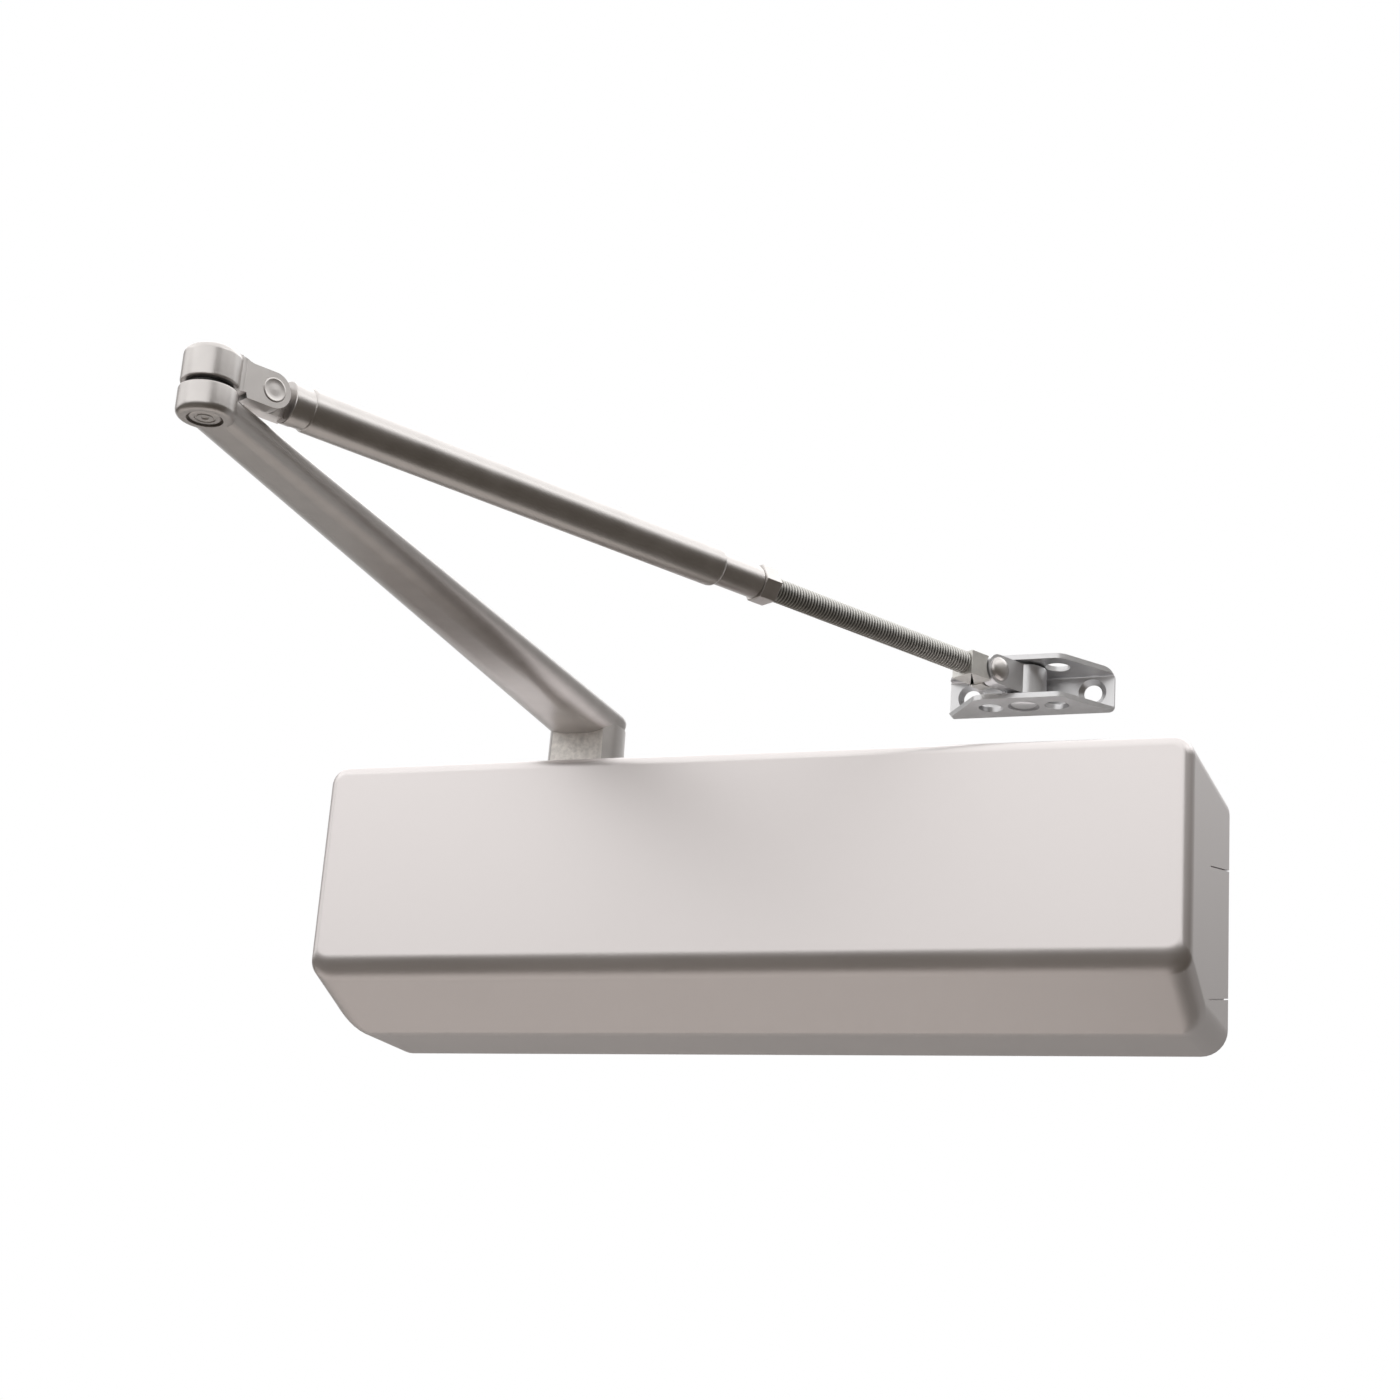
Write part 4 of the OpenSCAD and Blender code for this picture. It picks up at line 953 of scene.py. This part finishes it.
def make_shoe_bracket():
    low, high = box_in("shoe_bracket", SHOE)
    inner = high.z - SHOE_T
    outline = [
        (-FLANGE_EDGE / 2, low.y), (FLANGE_EDGE / 2, low.y), (high.x, high.y - SIDE_D), (high.x, high.y),
        (low.x, high.y), (low.x, high.y - SIDE_D),
    ]
    bracket = prism("bracket", outline, low.z, high.z)
    # The long bends between the back plate and the flanges
    round_edges(
        bracket, lambda a, b: near(a.y, high.y) and near(b.y, high.y) and near(a.z, b.z), BEND_R, 6
    )
    # Corners of the flanges
    round_edges(
        bracket, lambda a, b: near(a.x, b.x) and near(a.y, b.y) and near(a.y, low.y), 2.5 * MM, 6
    )
    space = block("space_cutter", (2 * low.x, 2 * low.y, -inner), (2 * high.x, high.y - SHOE_T, inner))
    round_edges(
        space,
        lambda a, b: near(a.y, b.y) and near(a.z, b.z) and near(a.y, high.y - SHOE_T),
        0.9 * MM, 4,
    )
    cut(bracket, space)
    pin_hole = turned("pin_hole", [(-high.z - MM, PIN_HOLE_R), (high.z + MM, PIN_HOLE_R)], 48)
    cut(bracket, pin_hole)
    for side in (-1, 1):
        flange_hole = turned("flange_hole", [(-high.z - MM, FLANGE_HOLE_R), (high.z + MM, FLANGE_HOLE_R)], 48)
        place(flange_hole, Matrix.Translation((side * FLANGE_HOLES / 2, 0, 0)))
        front = high.y - SHOE_T
        back_hole = turned(
            "back_hole",
            [(front - MM, BACK_SINK_R + 0.8 * MM), (front + 1.4 * MM, BACK_HOLE_R), (high.y + MM, BACK_HOLE_R)],
            48,
        )
        place(back_hole, Matrix.Translation((side * BACK_HOLES / 2, 0, 0)) @ LAY_Y)
        cut(bracket, flange_hole, back_hole)
    corner_x, corner_z = high.x - PLATE_CORNER_R, high.z - PLATE_CORNER_R
    ends = arc(corner_x, corner_z, PLATE_CORNER_R, 0, 90, 8) + arc(-corner_x, corner_z, PLATE_CORNER_R, 90, 180, 8)
    ends += arc(-corner_x, -corner_z, PLATE_CORNER_R, 180, 270, 8) + arc(corner_x, -corner_z, PLATE_CORNER_R, 270, 360, 8)
    keeper = prism("end_keeper", ends, 2 * low.y, -2 * low.y)
    place(keeper, Matrix.Rotation(math.pi / 2, 4, "X"))
    trim(bracket, keeper)
    soften(bracket, 0.3 * MM, 35)
    place(bracket, SHOE)
    smooth(bracket, 35)
    bracket.name = "frame_shoe"
    finished(bracket, SHOE_PAINT, "shoe", "silver_paint", "shoe_bracket")


make_shoe_knuckle()
make_shoe_pin()
make_shoe_bracket()

# ---------------------------------------------------------------- stage, light and camera


FLOOR_MIDDLE = (0, -0.275, -0.62)
FLOOR_SIZE = (3.44, 2.05)
SHINE_RIGHT = 0.12
SHINE_FRONT = -0.2
FRONT_SHINE = 0.12
DIM_LIGHT = (0.078, 0.066, 0.053)
# How bright the backdrop behind the object is, by height from straight down to straight up
BACKDROP = [(-0.88, 0.12), (-0.7, 0.4), (-0.5, 0.26), (0.09, 0.26), (0.16, 0.48), (0.24, 0.76), (0.4, 1.0)]


def make_stage():
    """A pale floor. In the object's metal only its part behind on the left shows."""
    bpy.ops.object.select_all(action="DESELECT")
    bpy.ops.mesh.primitive_plane_add(size=1, location=FLOOR_MIDDLE)
    floor = named("studio_floor")
    floor.scale = (*FLOOR_SIZE, 1)
    bpy.ops.object.transform_apply(location=True, rotation=True, scale=True)
    material, nodes, links, shader = new_material("pale_floor")
    shader.inputs["Base Color"].default_value = (0.72, 0.68, 0.65, 1)
    shader.inputs["Roughness"].default_value = 0.8
    spot = nodes.new("ShaderNodeTexCoord")
    axes = nodes.new("ShaderNodeSeparateXYZ")
    links.new(spot.outputs["Object"], axes.inputs["Vector"])
    left = nodes.new("ShaderNodeMath")
    left.operation = "LESS_THAN"
    left.inputs[1].default_value = SHINE_RIGHT
    links.new(axes.outputs["X"], left.inputs[0])
    behind = nodes.new("ShaderNodeMapRange")
    behind.inputs["From Min"].default_value = SHINE_FRONT - 0.02
    behind.inputs["From Max"].default_value = SHINE_FRONT
    behind.inputs["To Min"].default_value = FRONT_SHINE
    links.new(axes.outputs["Y"], behind.inputs["Value"])
    both = nodes.new("ShaderNodeMath")
    both.operation = "MULTIPLY"
    links.new(left.outputs["Value"], both.inputs[0])
    links.new(behind.outputs["Result"], both.inputs[1])
    ray = nodes.new("ShaderNodeLightPath")
    seen = nodes.new("ShaderNodeMath")
    seen.operation = "MAXIMUM"
    links.new(ray.outputs["Is Camera Ray"], seen.inputs[0])
    links.new(both.outputs["Value"], seen.inputs[1])
    clear = nodes.new("ShaderNodeBsdfTransparent")
    mix = nodes.new("ShaderNodeMixShader")
    links.new(seen.outputs["Value"], mix.inputs["Fac"])
    links.new(clear.outputs["BSDF"], mix.inputs[1])
    links.new(shader.outputs["BSDF"], mix.inputs[2])
    links.new(mix.outputs["Shader"], nodes["Material Output"].inputs["Surface"])
    floor.data.materials.append(material)


def make_world():
    """White to the camera and behind the object, and a dim even light from everywhere else."""
    world = bpy.data.worlds.new("studio")
    bpy.context.scene.world = world
    world.use_nodes = True
    nodes, links = world.node_tree.nodes, world.node_tree.links
    dim = nodes["Background"]
    dim.inputs["Color"].default_value = (*DIM_LIGHT, 1)
    white = nodes.new("ShaderNodeBackground")
    white.inputs["Color"].default_value = (1, 1, 1, 1)
    ray = nodes.new("ShaderNodeLightPath")
    direction = nodes.new("ShaderNodeTexCoord")
    axes = nodes.new("ShaderNodeSeparateXYZ")
    links.new(direction.outputs["Generated"], axes.inputs["Vector"])
    behind = nodes.new("ShaderNodeMapRange")
    behind.interpolation_type = "SMOOTHSTEP"
    behind.inputs["From Min"].default_value = 0.25
    behind.inputs["From Max"].default_value = 0.75
    links.new(axes.outputs["Y"], behind.inputs["Value"])
    # The bright part reaches lower on the left
    lean = nodes.new("ShaderNodeMath")
    lean.operation = "MULTIPLY_ADD"
    lean.inputs[1].default_value = -0.35
    links.new(axes.outputs["X"], lean.inputs[0])
    links.new(axes.outputs["Z"], lean.inputs[2])
    height = nodes.new("ShaderNodeMapRange")
    height.inputs["From Min"].default_value = -1
    height.inputs["From Max"].default_value = 1
    links.new(lean.outputs["Value"], height.inputs["Value"])
    above = nodes.new("ShaderNodeValToRGB")
    ramp = above.color_ramp
    while len(ramp.elements) < len(BACKDROP):
        ramp.elements.new(0.5)
    for element, (z, light) in zip(ramp.elements, BACKDROP):
        element.position = (z + 1) / 2
        element.color = (light, light, light, 1)
    links.new(height.outputs["Result"], above.inputs["Fac"])
    sweep = nodes.new("ShaderNodeMath")
    sweep.operation = "MULTIPLY"
    links.new(behind.outputs["Result"], sweep.inputs[0])
    links.new(above.outputs["Color"], sweep.inputs[1])
    mirrored = nodes.new("ShaderNodeMath")
    mirrored.operation = "MAXIMUM"
    links.new(ray.outputs["Is Glossy Ray"], mirrored.inputs[0])
    links.new(ray.outputs["Is Transmission Ray"], mirrored.inputs[1])
    background = nodes.new("ShaderNodeMath")
    background.operation = "MULTIPLY"
    links.new(mirrored.outputs["Value"], background.inputs[0])
    links.new(sweep.outputs["Value"], background.inputs[1])
    seen = nodes.new("ShaderNodeMath")
    seen.operation = "MAXIMUM"
    links.new(ray.outputs["Is Camera Ray"], seen.inputs[0])
    links.new(background.outputs["Value"], seen.inputs[1])
    mix = nodes.new("ShaderNodeMixShader")
    links.new(seen.outputs["Value"], mix.inputs["Fac"])
    links.new(dim.outputs["Background"], mix.inputs[1])
    links.new(white.outputs["Background"], mix.inputs[2])
    links.new(mix.outputs["Shader"], nodes["World Output"].inputs["Surface"])


def soft_box(name, place_at, target, width, height, power):
    data = bpy.data.lights.new(name, "AREA")
    data.shape = "RECTANGLE"
    data.size = width
    data.size_y = height
    data.energy = power
    lamp = bpy.data.objects.new(name, data)
    bpy.context.scene.collection.objects.link(lamp)
    lamp.location = place_at
    toward = Vector(target) - Vector(place_at)
    lamp.rotation_euler = toward.to_track_quat("-Z", "Y").to_euler()


def make_lights():
    middle = (0, -0.1, 0)
    soft_box("top_light", (0.0, -0.1, 1.1), middle, 3.2, 2.8, 34)
    soft_box("front_light", (-0.25, -2.1, 0.7), middle, 3.6, 1.4, 18.6)
    soft_box("left_light", (-1.9, -0.6, 0.65), middle, 1.6, 1.4, 7.2)
    soft_box("right_light", (1.7, -0.25, 1.15), middle, 1.8, 0.8, 3.2)


CAMERA_AT = Vector((299.9, -874.6, -215.25)) * MM
CAMERA_FORWARD = Vector((-0.3472, 0.8850, 0.3101))
CAMERA_ROLL = math.radians(4.29)
CAMERA_LENS = 66.7


def make_camera():
    data = bpy.data.cameras.new("camera")
    data.lens = CAMERA_LENS
    data.sensor_width = 36
    camera = bpy.data.objects.new("camera", data)
    bpy.context.scene.collection.objects.link(camera)
    backward = -CAMERA_FORWARD.normalized()
    right = Vector((0, 0, 1)).cross(backward).normalized()
    upward = backward.cross(right)
    facing = Matrix((right, upward, backward)).transposed().to_4x4()
    camera.matrix_world = Matrix.Translation(CAMERA_AT) @ facing @ Matrix.Rotation(CAMERA_ROLL, 4, "Z")
    bpy.context.scene.camera = camera


make_stage()
make_world()
make_lights()
make_camera()
bpy.context.scene.view_settings.view_transform = "Standard"
